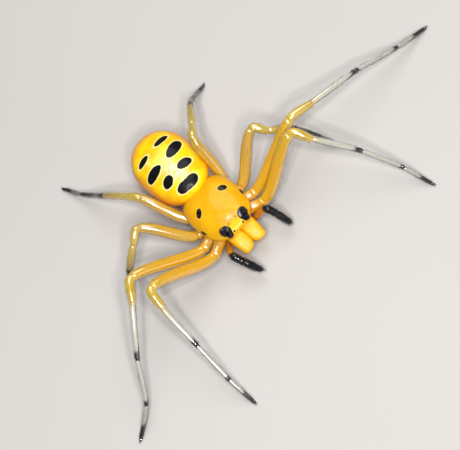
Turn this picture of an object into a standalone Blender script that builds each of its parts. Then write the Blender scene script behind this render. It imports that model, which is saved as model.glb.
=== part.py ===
"""An eight-spotted kind of crab spider at life size, standing with all eight feet on one level.

The body is modelled round the middle of the carapace: the head looks along -Y, the left side
is +X and the floor is z = 0. At the end one empty, the parent of every piece, brings the middle
of the whole outline over the origin.
"""

import math

import bmesh
import bpy
from mathutils import Vector

MM = 0.001
GAP = 0.28 * MM
# How strongly a limb's ends follow the direction of its joints, the straight stretch at each
# end, and how much of the bend at the hip and the knee lies beyond the joint.
PULL = 0.55
COLLAR = 0.1 * MM
HIP_SHARE = 0.5
KNEE_SHARE = 0.72

# Carapace: its rim lies at RIM_HEIGHT, the clypeus is its front edge.
RIM_HEIGHT = 3.2 * MM
CARAPACE_WIDTH = 5.95 * MM
CARAPACE_FRONT = 3.5 * MM
CARAPACE_REAR = 3.0 * MM
CARAPACE_DOME = 1.85 * MM
CARAPACE_BELLY = 0.3 * MM
FRONT_SQUARENESS = 2.7
REAR_SQUARENESS = 3.0
DOME_SQUARENESS = 2.3

# Abdomen: an egg, widest a little before its middle.
ABDOMEN_WIDTH = 6.6 * MM
ABDOMEN_FRONT = 3.35 * MM
ABDOMEN_WIDEST = 7.4 * MM
ABDOMEN_REAR = 11.3 * MM
ABDOMEN_MIDDLE_HEIGHT = 3.2 * MM
ABDOMEN_TOP = 2.55 * MM
ABDOMEN_BELLY = 2.35 * MM
ABDOMEN_SQUARENESS = 2.1
SHOULDER_SQUARENESS = 3.4

STERNUM_LENGTH = 3.2 * MM
STERNUM_WIDTH = 2.2 * MM
STERNUM_UNDERSIDE = 1.9 * MM
STERNUM_AHEAD = 0.28 * MM
STERNUM_SQUARENESS = 2.5
PEDICEL_RADIUS = 0.3 * MM
PEDICEL_HEIGHT = 2.35 * MM
SPINNERET_RADIUS = 0.28 * MM
SPINNERET_LENGTH = 0.75 * MM
SPINNERET_DROP = 0.9 * MM
SPINNERET_WAY = Vector((0.0, 0.8, -0.6))

# Chelicerae: two stout lobes that reach forward and down from under the clypeus.
CHELICERA_ROOT = Vector((0.88, -3.1, 2.2)) * MM
CHELICERA_TIP = Vector((0.74, -5.3, 1.75)) * MM
CHELICERA_RADIUS = 0.72 * MM
CHELICERA_PROFILE = (0.85, 0.97, 1.0, 0.94, 0.82, 0.5)

# Palps: a yellow upper part and a black outer part, each side in its own pose.
PALP_ROOT = Vector((2.05, -3.15, 1.6)) * MM
PALP_KNEE = {
    "left": Vector((3.12, -4.0, 3.2)) * MM,
    "right": Vector((-2.55, -4.55, 2.75)) * MM,
}
PALP_TIP = {
    "left": Vector((3.85, -6.3, 1.2)) * MM,
    "right": Vector((-1.6, -7.45, 1.2)) * MM,
}
PALP_RADIUS = 0.33 * MM
PALP_BASE_PROFILE = (0.9, 0.95, 1.0, 1.0, 1.0, 0.95, 0.9)
PALP_TIP_PROFILE = (1.0, 1.1, 1.15, 1.05, 1.0, 0.9, 0.7, 0.4)

# Eyes: radius, then how far out and forward each one sits on the carapace.
EYES = {
    "front_side": (0.34 * MM, 1.13 * MM, 3.22 * MM),
    "rear_side": (0.3 * MM, 1.5 * MM, 2.66 * MM),
    "front_middle": (0.14 * MM, 0.62 * MM, 3.32 * MM),
    "rear_middle": (0.13 * MM, 0.5 * MM, 2.7 * MM),
}
EYE_CLEARANCE = 0.1 * MM
EYE_RISE = 0.35

# Legs, numbered from the front. Lengths are femur, patella, tibia, metatarsus, tarsus.
LEG_LENGTHS = {
    1: (7.65, 2.35, 5.0, 4.55, 3.2),
    2: (8.15, 2.75, 5.85, 4.9, 3.6),
    3: (5.9, 1.75, 3.05, 2.85, 2.0),
    4: (5.5, 1.8, 3.3, 3.0, 2.25),
}
# How much longer or shorter than its pair a leg is beyond the knee.
LEG_STRETCH = {("left", 2): 1.035, ("right", 2): 0.955, ("left", 4): 0.98, ("right", 4): 1.06}
# Thickest radius of the same five, then the radius of the coxa.
LEG_RADII = {
    1: (0.6, 0.5, 0.37, 0.27, 0.24, 0.43),
    2: (0.59, 0.5, 0.38, 0.27, 0.24, 0.43),
    3: (0.57, 0.47, 0.39, 0.27, 0.23, 0.42),
    4: (0.53, 0.48, 0.4, 0.27, 0.23, 0.43),
}
# The share of the thickest radius at each ring along a length.
COXA_PROFILE = (0.75, 0.85, 1.0, 1.0, 0.84, 0.92, 0.85)
FEMUR_PROFILE = (0.66, 0.72, 0.9, 0.98, 1.0, 0.98, 0.94, 0.9, 0.85, 0.8)
PATELLA_PROFILE = (0.86, 0.9, 1.0, 0.98, 0.9, 0.84, 0.8)
TIBIA_PROFILE = (0.9, 0.95, 1.0, 0.97, 0.91, 0.86, 0.82, 0.8)
METATARSUS_PROFILE = (0.9, 0.95, 1.0, 0.97, 0.94, 0.92)
TARSUS_PROFILE = (0.86, 1.0, 0.98, 0.92)
# Where the coxa leaves the sternum and where the trochanter ends, on the left side.
COXA_ROOTS = {
    1: Vector((1.05, -1.7, 2.25)) * MM,
    2: Vector((1.42, -0.75, 2.2)) * MM,
    3: Vector((1.42, 0.22, 2.2)) * MM,
    4: Vector((1.05, 1.1, 2.2)) * MM,
}
HIPS = {
    1: Vector((3.75, -2.95, 2.4)) * MM,
    2: Vector((3.92, -1.55, 2.4)) * MM,
    3: Vector((3.3, -0.05, 2.4)) * MM,
    4: Vector((2.45, 1.75, 2.15)) * MM,
}
# Degrees: the heading of each length from straight ahead towards its own side, and its climb.
# The tarsus has no climb of its own, because it comes down to the floor.
POSE = {
    ("left", 1): ((97, 32, 33, 24, 15), (35, -16, -28, -28)),
    ("right", 1): ((98, 21, 6, 5, 0), (31, -13, -26, -26)),
    ("left", 2): ((96, 83, 86, 82, 86), (27, -9, -19, -24)),
    ("right", 2): ((105, 47, 47, 43, 64), (29, -5, -23, -30)),
    ("left", 3): ((113, 43, 54, 34, 22), (30, -16, -32, -45)),
    ("right", 3): ((139, 70, 68, 56, 46), (27, -12, -34, -43)),
    ("left", 4): ((164, 145, 146, 147, 114), (40, -13, -25, -55)),
    ("right", 4): ((158, 152, 152, 155, 160), (22, -10, -26, -29)),
}
# The last stretch of each tarsus lies level, and its underside is a flat on the floor.
FOOT_HEIGHT = 0.15 * MM
FOOT_FLAT = 0.35 * MM
TIP_RADIUS = 0.19 * MM
TIP_PROFILE = (1.0, 1.0, 0.7)
TOE_STEPS = (0.7, 1.0)

# Facets: a limb's bevel level, then segments and rings of each ball.
TUBE_SIDES_LEVEL = 4
BODY_FACETS = (32, 18)
STERNUM_FACETS = (20, 10)
EYE_FACETS = (14, 8)

FINISHES = {
    "orange_yellow": ((0.78, 0.36, 0.02, 1.0), 0.25),
    "bright_yellow": ((0.85, 0.6, 0.03, 1.0), 0.3),
    "pale_yellow": ((0.7, 0.5, 0.1, 1.0), 0.3),
    "grey_white": ((0.45, 0.42, 0.33, 1.0), 0.4),
    "gloss_black": ((0.01, 0.01, 0.01, 1.0), 0.15),
}


def clear_scene():
    for obj in list(bpy.data.objects):
        bpy.data.objects.remove(obj, do_unlink=True)


def make_collection(name):
    collection = bpy.data.collections.new(name)
    bpy.context.scene.collection.children.link(collection)
    return collection


def make_material(name):
    colour, roughness = FINISHES[name]
    material = bpy.data.materials.new(name)
    material.use_nodes = True
    shader = material.node_tree.nodes["Principled BSDF"]
    shader.inputs["Base Color"].default_value = colour
    shader.inputs["Roughness"].default_value = roughness
    shader.inputs["Metallic"].default_value = 0.0
    return material


def add_object(name, data, finish, home):
    """A piece with a material of its own, hung from the home empty."""
    obj = bpy.data.objects.new(name, data)
    home["collection"].objects.link(obj)
    obj.parent = home["empty"]
    material = make_material(finish)
    material.name = name + "_finish"
    data.materials.append(material)
    return obj


def side_sign(side):
    return 1 if side == "left" else -1


def mirrored(point, side):
    return Vector((side_sign(side) * point.x, point.y, point.z))


def tube(name, axis, radii, finish, home):
    """A round limb with flat ends along a line of points, each with its own radius."""
    curve = bpy.data.curves.new(name, "CURVE")
    curve.dimensions = "3D"
    curve.bevel_depth = 1.0
    curve.bevel_resolution = TUBE_SIDES_LEVEL
    curve.use_fill_caps = True
    spline = curve.splines.new("POLY")
    spline.points.add(len(axis) - 1)
    for point, place, radius in zip(spline.points, axis, radii):
        point.co = (*place, 1.0)
        point.radius = radius
    return add_object(name, curve, finish, home)


def shaped_ball(name, shape, finish, home, facets=BODY_FACETS):
    """A ball whose every vertex goes where the shape function puts its unit direction."""
    bm = bmesh.new()
    bmesh.ops.create_uvsphere(bm, u_segments=facets[0], v_segments=facets[1], radius=1.0)
    for vertex in bm.verts:
        vertex.co = shape(vertex.co.normalized())
    mesh = bpy.data.meshes.new(name)
    bm.to_mesh(mesh)
    bm.free()
    mesh.shade_smooth()
    return add_object(name, mesh, finish, home)


def superellipse(part, power):
    """How much is left across when part, from 0 to 1, is used along."""
    return max(0.0, 1.0 - min(1.0, abs(part)) ** power) ** (1.0 / power)


def squared(direction, power):
    """The direction's place in plan, pushed out from a circle to a rounder square."""
    flat = math.hypot(direction.x, direction.y)
    if flat < 1e-6:
        return 0.0, 0.0
    across, along = direction.x / flat, direction.y / flat
    stretch = flat * (abs(across) ** power + abs(along) ** power) ** (-1.0 / power)
    return across * stretch, along * stretch


def carapace_shape(direction):
    front = direction.y < 0.0
    x, y = squared(direction, FRONT_SQUARENESS if front else REAR_SQUARENESS)
    reach = CARAPACE_FRONT if front else CARAPACE_REAR
    lift = CARAPACE_DOME if direction.z > 0.0 else -CARAPACE_BELLY
    flat = math.hypot(direction.x, direction.y)
    height = RIM_HEIGHT + lift * superellipse(flat, DOME_SQUARENESS)
    return Vector((CARAPACE_WIDTH / 2 * x, reach * y, height))


def abdomen_shape(direction):
    """The ball's poles, at +Z and -Z, go to the rear and the front end."""
    along, across, up = direction.z, direction.x, -direction.y
    middle = ABDOMEN_WIDEST
    reach = ABDOMEN_REAR - middle if along > 0.0 else middle - ABDOMEN_FRONT
    around = math.hypot(across, up)
    swell = superellipse(along, ABDOMEN_SQUARENESS if along > 0.0 else SHOULDER_SQUARENESS)
    cos_a = across / around if around > 1e-6 else 0.0
    sin_a = up / around if around > 1e-6 else 0.0
    tall = ABDOMEN_TOP if up > 0.0 else ABDOMEN_BELLY
    return Vector((
        ABDOMEN_WIDTH / 2 * cos_a * swell,
        middle + reach * along,
        ABDOMEN_MIDDLE_HEIGHT + tall * sin_a * swell,
    ))


def carapace_height(x, y):
    """Height of the carapace's upper face above a place in plan."""
    power = FRONT_SQUARENESS if y < 0.0 else REAR_SQUARENESS
    reach = CARAPACE_FRONT if y < 0.0 else CARAPACE_REAR
    out = (abs(x / (CARAPACE_WIDTH / 2)) ** power + abs(y / reach) ** power) ** (1.0 / power)
    return RIM_HEIGHT + CARAPACE_DOME * superellipse(out, DOME_SQUARENESS)


def carapace_normal(x, y):
    step = 0.05 * MM
    slope_x = (carapace_height(x + step, y) - carapace_height(x - step, y)) / (2 * step)
    slope_y = (carapace_height(x, y + step) - carapace_height(x, y - step)) / (2 * step)
    return Vector((-slope_x, -slope_y, 1.0)).normalized()


def add_body(home):
    shaped_ball("carapace", carapace_shape, "orange_yellow", home)
    shaped_ball("abdomen", abdomen_shape, "bright_yellow", home)

    def sternum_shape(direction):
        top = RIM_HEIGHT - CARAPACE_BELLY - GAP
        half_height = (top - STERNUM_UNDERSIDE) / 2
        x, y = squared(direction, STERNUM_SQUARENESS)
        return Vector((
            STERNUM_WIDTH / 2 * x,
            STERNUM_LENGTH / 2 * y - STERNUM_AHEAD,
            top - half_height + half_height * direction.z,
        ))

    shaped_ball("sternum", sternum_shape, "orange_yellow", home, STERNUM_FACETS)


def add_eyes(home):
    for place, (radius, out, ahead) in EYES.items():
        for side in ("left", "right"):
            x, y = side_sign(side) * out, -ahead
            normal = carapace_normal(x, y)
            base = Vector((x, y, carapace_height(x, y)))
            centre = base + normal * (EYE_RISE * radius + EYE_CLEARANCE)

            def eye_shape(direction, centre=centre, radius=radius, normal=normal):
                depth = direction.dot(normal)
                low = -EYE_RISE * radius
                place = centre + direction * radius
                if depth * radius < low:
                    place -= normal * (depth * radius - low)
                return place

            shaped_ball(f"eye_{place}_{side}", eye_shape, "gloss_black", home, EYE_FACETS)


def hermite(start, end, lead_in, lead_out, steps):
    """Points on a smooth line from start to end with the given tangents."""
    points = []
    for step in range(steps + 1):
        t = step / steps
        points.append(
            start * (2 * t**3 - 3 * t**2 + 1)
            + lead_in * (t**3 - 2 * t**2 + t)
            + end * (-2 * t**3 + 3 * t**2)
            + lead_out * (t**3 - t**2)
        )
    return points


def limb_axis(start, end, way_in, way_out, steps):
    """A smooth line whose first and last stretches are straight, so that its ends are square."""
    first, last = start + way_in * COLLAR, end - way_out * COLLAR
    pull = (last - first).length * PULL
    return [start] + hermite(first, last, way_in * pull, way_out * pull, steps) + [end]


def heading_vector(side, heading, climb):
    flat = math.cos(math.radians(climb))
    return Vector((
        side_sign(side) * math.sin(math.radians(heading)) * flat,
        -math.cos(math.radians(heading)) * flat,
        math.sin(math.radians(climb)),
    ))


def leg_lengths(side, number):
    stretch = LEG_STRETCH.get((side, number), 1.0)
    femur, *rest = LEG_LENGTHS[number]
    return [femur * MM] + [length * stretch * MM for length in rest]


def leg_joints(side, number):
    """Hip, knee, patella end, tibia end, metatarsus end and tip."""
    headings, climbs = POSE[(side, number)]
    joints = [mirrored(HIPS[number], side)]
    lengths = leg_lengths(side, number)
    for length, heading, climb in zip(lengths, headings, climbs):
        joints.append(joints[-1] + heading_vector(side, heading, climb) * length)
    tarsus = lengths[4]
    climb = math.degrees(math.asin((FOOT_HEIGHT - joints[-1].z) / tarsus))
    joints.append(joints[-1] + heading_vector(side, headings[4], climb) * tarsus)
    return joints


def add_foot(name, side, number, joints, way_in, home):
    """Metatarsus and tarsus, with a waist where they join and a flat to stand on."""
    meta, tarsus = (radius * MM for radius in LEG_RADII[number][3:5])
    ways = [(b - a).normalized() for a, b in zip(joints[3:], joints[4:])]
    bend = (ways[0] + ways[1]).normalized()
    meta_length, tarsus_length = leg_lengths(side, number)[3:]
    start = joints[3] + way_in * GAP / 2
    waist = len(METATARSUS_PROFILE) - 1
    axis = [start] + hermite(start + way_in * COLLAR, joints[4], way_in * meta_length * PULL,
                             bend * meta_length * PULL, waist)
    axis += hermite(joints[4], joints[5], bend * tarsus_length * PULL,
                    ways[1] * tarsus_length * PULL, len(TARSUS_PROFILE))[1:]
    level = Vector((ways[1].x, ways[1].y, 0.0)).normalized()
    axis += [joints[5] + level * FOOT_FLAT * part for part in TOE_STEPS]
    profile = [meta * share for share in METATARSUS_PROFILE]
    profile += [tarsus * share for share in TARSUS_PROFILE]
    profile += [TIP_RADIUS * share for share in TIP_PROFILE]
    foot = tube(name, axis, profile, "grey_white", home)
    flatten_sole(foot, home)


def flatten_sole(foot, home):
    """Makes the limb a mesh whose caps are joined and whose underside ends at the floor."""
    bpy.context.view_layer.update()
    graph = bpy.context.evaluated_depsgraph_get()
    mesh = bpy.data.meshes.new_from_object(foot.evaluated_get(graph))
    name, curve = foot.name, foot.data
    bm = bmesh.new()
    bm.from_mesh(mesh)
    bmesh.ops.remove_doubles(bm, verts=bm.verts, dist=0.001 * MM)
    for vertex in bm.verts:
        vertex.co.z = max(0.0, vertex.co.z)
    bm.to_mesh(mesh)
    bm.free()
    bpy.data.objects.remove(foot, do_unlink=True)
    bpy.data.curves.remove(curve)
    solid = bpy.data.objects.new(name, mesh)
    home["collection"].objects.link(solid)
    solid.parent = home["empty"]


def add_leg(side, number, home):
    joints = leg_joints(side, number)
    ways = [(b - a).normalized() for a, b in zip(joints, joints[1:])]
    root = mirrored(COXA_ROOTS[number], side)
    root_way = (joints[0] - root).normalized()
    turns = [(root_way * HIP_SHARE + ways[0] * (1 - HIP_SHARE)).normalized()]
    turns += [(ways[0] * KNEE_SHARE + ways[1] * (1 - KNEE_SHARE)).normalized()]
    turns += [(a + b).normalized() for a, b in zip(ways[1:3], ways[2:4])]
    starts, ends = [root] + joints[:3], joints[:4]
    femur, patella, tibia, _, _, coxa = LEG_RADII[number]
    parts = (
        ("coxa", coxa, COXA_PROFILE, "orange_yellow"),
        ("femur", femur, FEMUR_PROFILE, "orange_yellow"),
        ("patella", patella, PATELLA_PROFILE, "pale_yellow"),
        ("tibia", tibia, TIBIA_PROFILE, "grey_white"),
    )
    for (part, radius, shares, finish), start, end, way_in, way_out in zip(
        parts, starts, ends, [root_way] + turns[:3], turns
    ):
        begin, finish_at = start + way_in * GAP / 2, end - way_out * GAP / 2
        axis = limb_axis(begin, finish_at, way_in, way_out, len(shares) - 3)
        radii = [radius * share * MM for share in shares]
        tube(f"leg_{side}_{number}_{part}", axis, radii, finish, home)
    add_foot(f"leg_{side}_{number}_foot", side, number, joints, turns[3], home)


def add_chelicerae(home):
    for side in ("left", "right"):
        start, end = mirrored(CHELICERA_ROOT, side), mirrored(CHELICERA_TIP, side)
        steps = len(CHELICERA_PROFILE) - 1
        axis = [start.lerp(end, step / steps) for step in range(steps + 1)]
        radii = [CHELICERA_RADIUS * share for share in CHELICERA_PROFILE]
        tube(f"chelicera_{side}", axis, radii, "orange_yellow", home)


def add_palps(home):
    for side in ("left", "right"):
        root, knee, tip = mirrored(PALP_ROOT, side), PALP_KNEE[side], PALP_TIP[side]
        inner, outer = (knee - root).normalized(), (tip - knee).normalized()
        turn = (inner + outer).normalized()
        lengths = (
            ("base", root, knee - turn * GAP / 2, inner, turn, PALP_BASE_PROFILE, "orange_yellow"),
            ("tip", knee + turn * GAP / 2, tip, turn, outer, PALP_TIP_PROFILE, "gloss_black"),
        )
        for part, start, end, way_in, way_out, profile, finish in lengths:
            axis = limb_axis(start, end, way_in, way_out, len(profile) - 3)
            tube(f"palp_{side}_{part}", axis, [PALP_RADIUS * k for k in profile], finish, home)


def add_rear(home):
    front = Vector((0, STERNUM_LENGTH / 2 - STERNUM_AHEAD + GAP, PEDICEL_HEIGHT))
    back = Vector((0, ABDOMEN_FRONT - GAP, PEDICEL_HEIGHT))
    tube("pedicel", [front, back], [PEDICEL_RADIUS, PEDICEL_RADIUS], "orange_yellow", home)
    tail = Vector((0, ABDOMEN_REAR + 0.05 * MM, ABDOMEN_MIDDLE_HEIGHT - SPINNERET_DROP))
    tube("spinnerets", [tail, tail + SPINNERET_WAY * SPINNERET_LENGTH],
         [SPINNERET_RADIUS, SPINNERET_RADIUS / 2], "bright_yellow", home)


def centre_over_origin(home):
    """Moves the parent empty so that the whole outline stands centred on the origin."""
    bpy.context.view_layer.update()
    graph = bpy.context.evaluated_depsgraph_get()
    corners = []
    for obj in home["collection"].objects:
        if obj.type == "EMPTY":
            continue
        mesh = obj.evaluated_get(graph).to_mesh()
        corners += [obj.matrix_world @ vertex.co for vertex in mesh.vertices]
        obj.evaluated_get(graph).to_mesh_clear()
    low = Vector([min(c[i] for c in corners) for i in range(3)])
    high = Vector([max(c[i] for c in corners) for i in range(3)])
    home["empty"].location = Vector((-(low.x + high.x) / 2, -(low.y + high.y) / 2, 0.0))


def main():
    clear_scene()
    collection = make_collection("crab_spider")
    empty = bpy.data.objects.new("crab_spider_home", None)
    collection.objects.link(empty)
    home = {"collection": collection, "empty": empty}
    add_body(home)
    add_eyes(home)
    add_chelicerae(home)
    add_palps(home)
    add_rear(home)
    for number in LEG_LENGTHS:
        for side in ("left", "right"):
            add_leg(side, number, home)
    centre_over_origin(home)


main()
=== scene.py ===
"""The looks of a spotted crab spider, a still, life-size model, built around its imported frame.

Lengths in this script are millimetres in the body's own axes: the head looks along -Y, the left
side is +X, the floor is z = 0 and the middle of the carapace stands over the origin. Home turns
them into the metres of the frame.
"""

from __future__ import annotations

import functools
import logging
import math
from dataclasses import dataclass, field
from enum import Enum
from typing import Any, Sequence

import bpy
import numpy as np
from mathutils import Matrix, Vector

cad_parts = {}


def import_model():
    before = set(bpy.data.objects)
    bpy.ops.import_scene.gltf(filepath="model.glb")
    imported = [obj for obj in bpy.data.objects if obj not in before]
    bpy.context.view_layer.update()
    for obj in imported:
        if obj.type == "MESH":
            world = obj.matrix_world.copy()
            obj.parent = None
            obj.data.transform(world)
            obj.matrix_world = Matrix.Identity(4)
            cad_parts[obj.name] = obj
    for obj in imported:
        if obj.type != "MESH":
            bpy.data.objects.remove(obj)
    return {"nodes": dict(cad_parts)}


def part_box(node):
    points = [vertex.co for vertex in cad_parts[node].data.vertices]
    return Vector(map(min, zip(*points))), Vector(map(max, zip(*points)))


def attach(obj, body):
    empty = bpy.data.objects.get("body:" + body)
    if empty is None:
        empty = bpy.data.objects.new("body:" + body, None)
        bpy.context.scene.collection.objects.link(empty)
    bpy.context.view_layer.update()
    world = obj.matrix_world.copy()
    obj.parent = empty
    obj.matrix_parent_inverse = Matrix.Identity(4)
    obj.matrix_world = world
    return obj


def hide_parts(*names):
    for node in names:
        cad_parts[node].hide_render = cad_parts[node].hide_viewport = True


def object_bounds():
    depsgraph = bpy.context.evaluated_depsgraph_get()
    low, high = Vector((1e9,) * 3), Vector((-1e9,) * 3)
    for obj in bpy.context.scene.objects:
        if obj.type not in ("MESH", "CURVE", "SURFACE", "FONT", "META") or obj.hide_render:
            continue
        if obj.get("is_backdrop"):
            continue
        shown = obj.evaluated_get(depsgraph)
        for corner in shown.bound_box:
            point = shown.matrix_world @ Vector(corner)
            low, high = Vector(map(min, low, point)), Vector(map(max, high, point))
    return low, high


LOG = logging.getLogger("crab_spider")
MM = 0.001
TINY = 1e-9
SIDES = ("left", "right")
BAKE_MAP = "OFBake"
TUFT_PATCH = 0.003
Colour = tuple[float, float, float]
Triple = tuple[float, float, float]
Span = tuple[float, float]
Face = tuple[int, ...]


class Finish(Enum):
    """The finishes that the skin wears, one for each region."""

    CARAPACE = "carapace_cuticle"
    ABDOMEN = "abdomen_cuticle"
    UNDERSIDE = "underside_cuticle"
    JAW = "jaw_cuticle"
    PALP = "palp_cuticle"
    FRONT_LEG = "front_leg_cuticle"
    HIND_LEG = "hind_leg_cuticle"


class Coat(Enum):
    """The coat of setae that grows on a surface."""

    NONE = 0
    FRONT_LEGS = 1
    HIND_LEGS = 2
    BODY = 3
    PALPS = 4


def vec(*values: float) -> np.ndarray:
    """A point or direction as an array."""
    return np.array(values, float)


def unit(values: np.ndarray) -> np.ndarray:
    """The same directions with a length of one."""
    return values / np.maximum(np.linalg.norm(values, axis=-1, keepdims=True), TINY)


def side_sign(side: str) -> int:
    """1 on the left side, -1 on the right."""
    return 1 if side == "left" else -1


def mirrored(point: Sequence[float], side: str) -> np.ndarray:
    """A point of the left side, taken to the given side."""
    return vec(side_sign(side) * point[0], point[1], point[2])


def superellipse(part: np.ndarray, power: float) -> np.ndarray:
    """How much is left across when part, from 0 to 1, is used along."""
    return np.maximum(0.0, 1.0 - np.minimum(1.0, np.abs(part)) ** power) ** (1.0 / power)


def bump(distance: np.ndarray, reach: float) -> np.ndarray:
    """A bell, 1 where the distance is nought and almost nothing past twice the reach."""
    return np.exp(-((distance / reach) ** 2))


def eased(value: np.ndarray, low: float, high: float) -> np.ndarray:
    """A smooth rise from 0 at low to 1 at high."""
    share = np.clip((value - low) / (high - low), 0.0, 1.0)
    return share * share * (3 - 2 * share)


def hermite(start: np.ndarray, end: np.ndarray, lead_in: np.ndarray, lead_out: np.ndarray,
            steps: int) -> np.ndarray:
    """Points on a smooth line with the given tangents at its ends.

    Args:
        start: First point.
        end: Last point.
        lead_in: Tangent at the start.
        lead_out: Tangent at the end.
        steps: How many stretches the line has.

    Returns:
        An array of steps + 1 points.
    """
    t = np.linspace(0.0, 1.0, steps + 1)[:, None]
    return (start * (2 * t**3 - 3 * t**2 + 1) + lead_in * (t**3 - 2 * t**2 + t)
            + end * (-2 * t**3 + 3 * t**2) + lead_out * (t**3 - t**2))


def even_turns(segments: int) -> np.ndarray:
    """Angles at even steps of one turn, from nought."""
    return np.arange(segments) * 2 * math.pi / segments


def bunched(count: int) -> np.ndarray:
    """Places between -1 and 1 that lie closer together towards both ends."""
    return -np.cos(np.linspace(0.0, math.pi, count + 2)[1:-1])


def linked(name: str, data: Any) -> bpy.types.Object:
    """A new object with that data, in the scene."""
    obj = bpy.data.objects.new(name, data)
    bpy.context.scene.collection.objects.link(obj)
    return obj


@dataclass(frozen=True)
class Home:
    """Where the body stands in the frame."""

    origin: np.ndarray

    @classmethod
    def from_frame(cls, carapace_front: float) -> Home:
        """Reads the body's place off the carapace node.

        Args:
            carapace_front: How far the carapace reaches ahead of the body's origin.

        Returns:
            The home with its origin in metres.
        """
        low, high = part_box("carapace")
        return cls(vec((low.x + high.x) / 2, low.y + carapace_front * MM, 0.0))

    def place(self, points: np.ndarray) -> np.ndarray:
        """Body millimetres as metres of the frame."""
        return points * MM + self.origin

    def body(self, point: Sequence[float]) -> np.ndarray:
        """A place in the frame as body millimetres."""
        return (vec(*point) - self.origin) / MM


@dataclass
class Shell:
    """One closed surface: rings of points between two poles, with what the finishes read.

    A ring's first point is on its upper side. along, lie, hairs and hair_length hold one entry
    for each ring, or one for all.
    """

    rings: np.ndarray
    first: np.ndarray
    last: np.ndarray
    finish: Finish
    coat: Coat = Coat.NONE
    along: np.ndarray | float = 0.0
    lie: np.ndarray | Triple = (0.0, 1.0, 0.0)
    hairs: np.ndarray | float = 1.0
    hair_length: np.ndarray | float = 1.0

    def size(self) -> tuple[float, float]:
        """Girth and length of the surface, for its place in the atlas."""
        closed = np.concatenate([self.rings, self.rings[:, :1]], 1)
        girth = np.linalg.norm(np.diff(closed, axis=1), axis=2).sum(1).max()
        length = np.linalg.norm(np.diff(self.rings, axis=0), axis=2).sum(0).mean()
        return float(girth), float(length)


def outward(rings: np.ndarray) -> np.ndarray:
    """Unit normals of a grid of rings, pointing away from its middle.

    Args:
        rings: Points by ring and by place around it.

    Returns:
        A normal for each point.
    """
    down = np.gradient(rings, axis=0)
    around = np.roll(rings, -1, 1) - np.roll(rings, 1, 1)
    normals = unit(np.cross(down, around))
    away = rings - rings.mean(1, keepdims=True)
    sign = np.sign((normals * away).sum(-1).sum())
    return normals * sign


class Atlas:
    """Gives every surface its own rectangle of the bake map, on shelves."""

    MARGIN = 0.004
    SHRINK = 0.985

    def __init__(self, sizes: Sequence[Span]) -> None:
        """Finds the largest scale at which all the rectangles fit.

        Args:
            sizes: Width and height of each rectangle, in millimetres.
        """
        self.scale = 1.0 / math.sqrt(sum(w * h for w, h in sizes))
        self.places = self._shelve(sizes)
        while not self.places:
            self.scale *= self.SHRINK
            self.places = self._shelve(sizes)

    def _shelve(self, sizes: Sequence[Span]) -> list[tuple[float, ...]]:
        """Lays the rectangles out, or returns nothing where they don't fit.

        Args:
            sizes: Width and height of each rectangle, in millimetres.

        Returns:
            Left edge, lower edge, width and height of each, or an empty list.
        """
        order = sorted(range(len(sizes)), key=lambda i: -sizes[i][1])
        places: list[tuple[float, ...]] = [()] * len(sizes)
        x = y = self.MARGIN
        shelf = 0.0
        for i in order:
            wide, tall = sizes[i][0] * self.scale, sizes[i][1] * self.scale
            if x + wide + self.MARGIN > 1.0:
                x, y = self.MARGIN, y + shelf + self.MARGIN
                shelf = 0.0
            if x + wide + self.MARGIN > 1.0 or y + tall + self.MARGIN > 1.0:
                return []
            places[i] = (x, y, wide, tall)
            x += wide + self.MARGIN
            shelf = max(shelf, tall)
        return places


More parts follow.
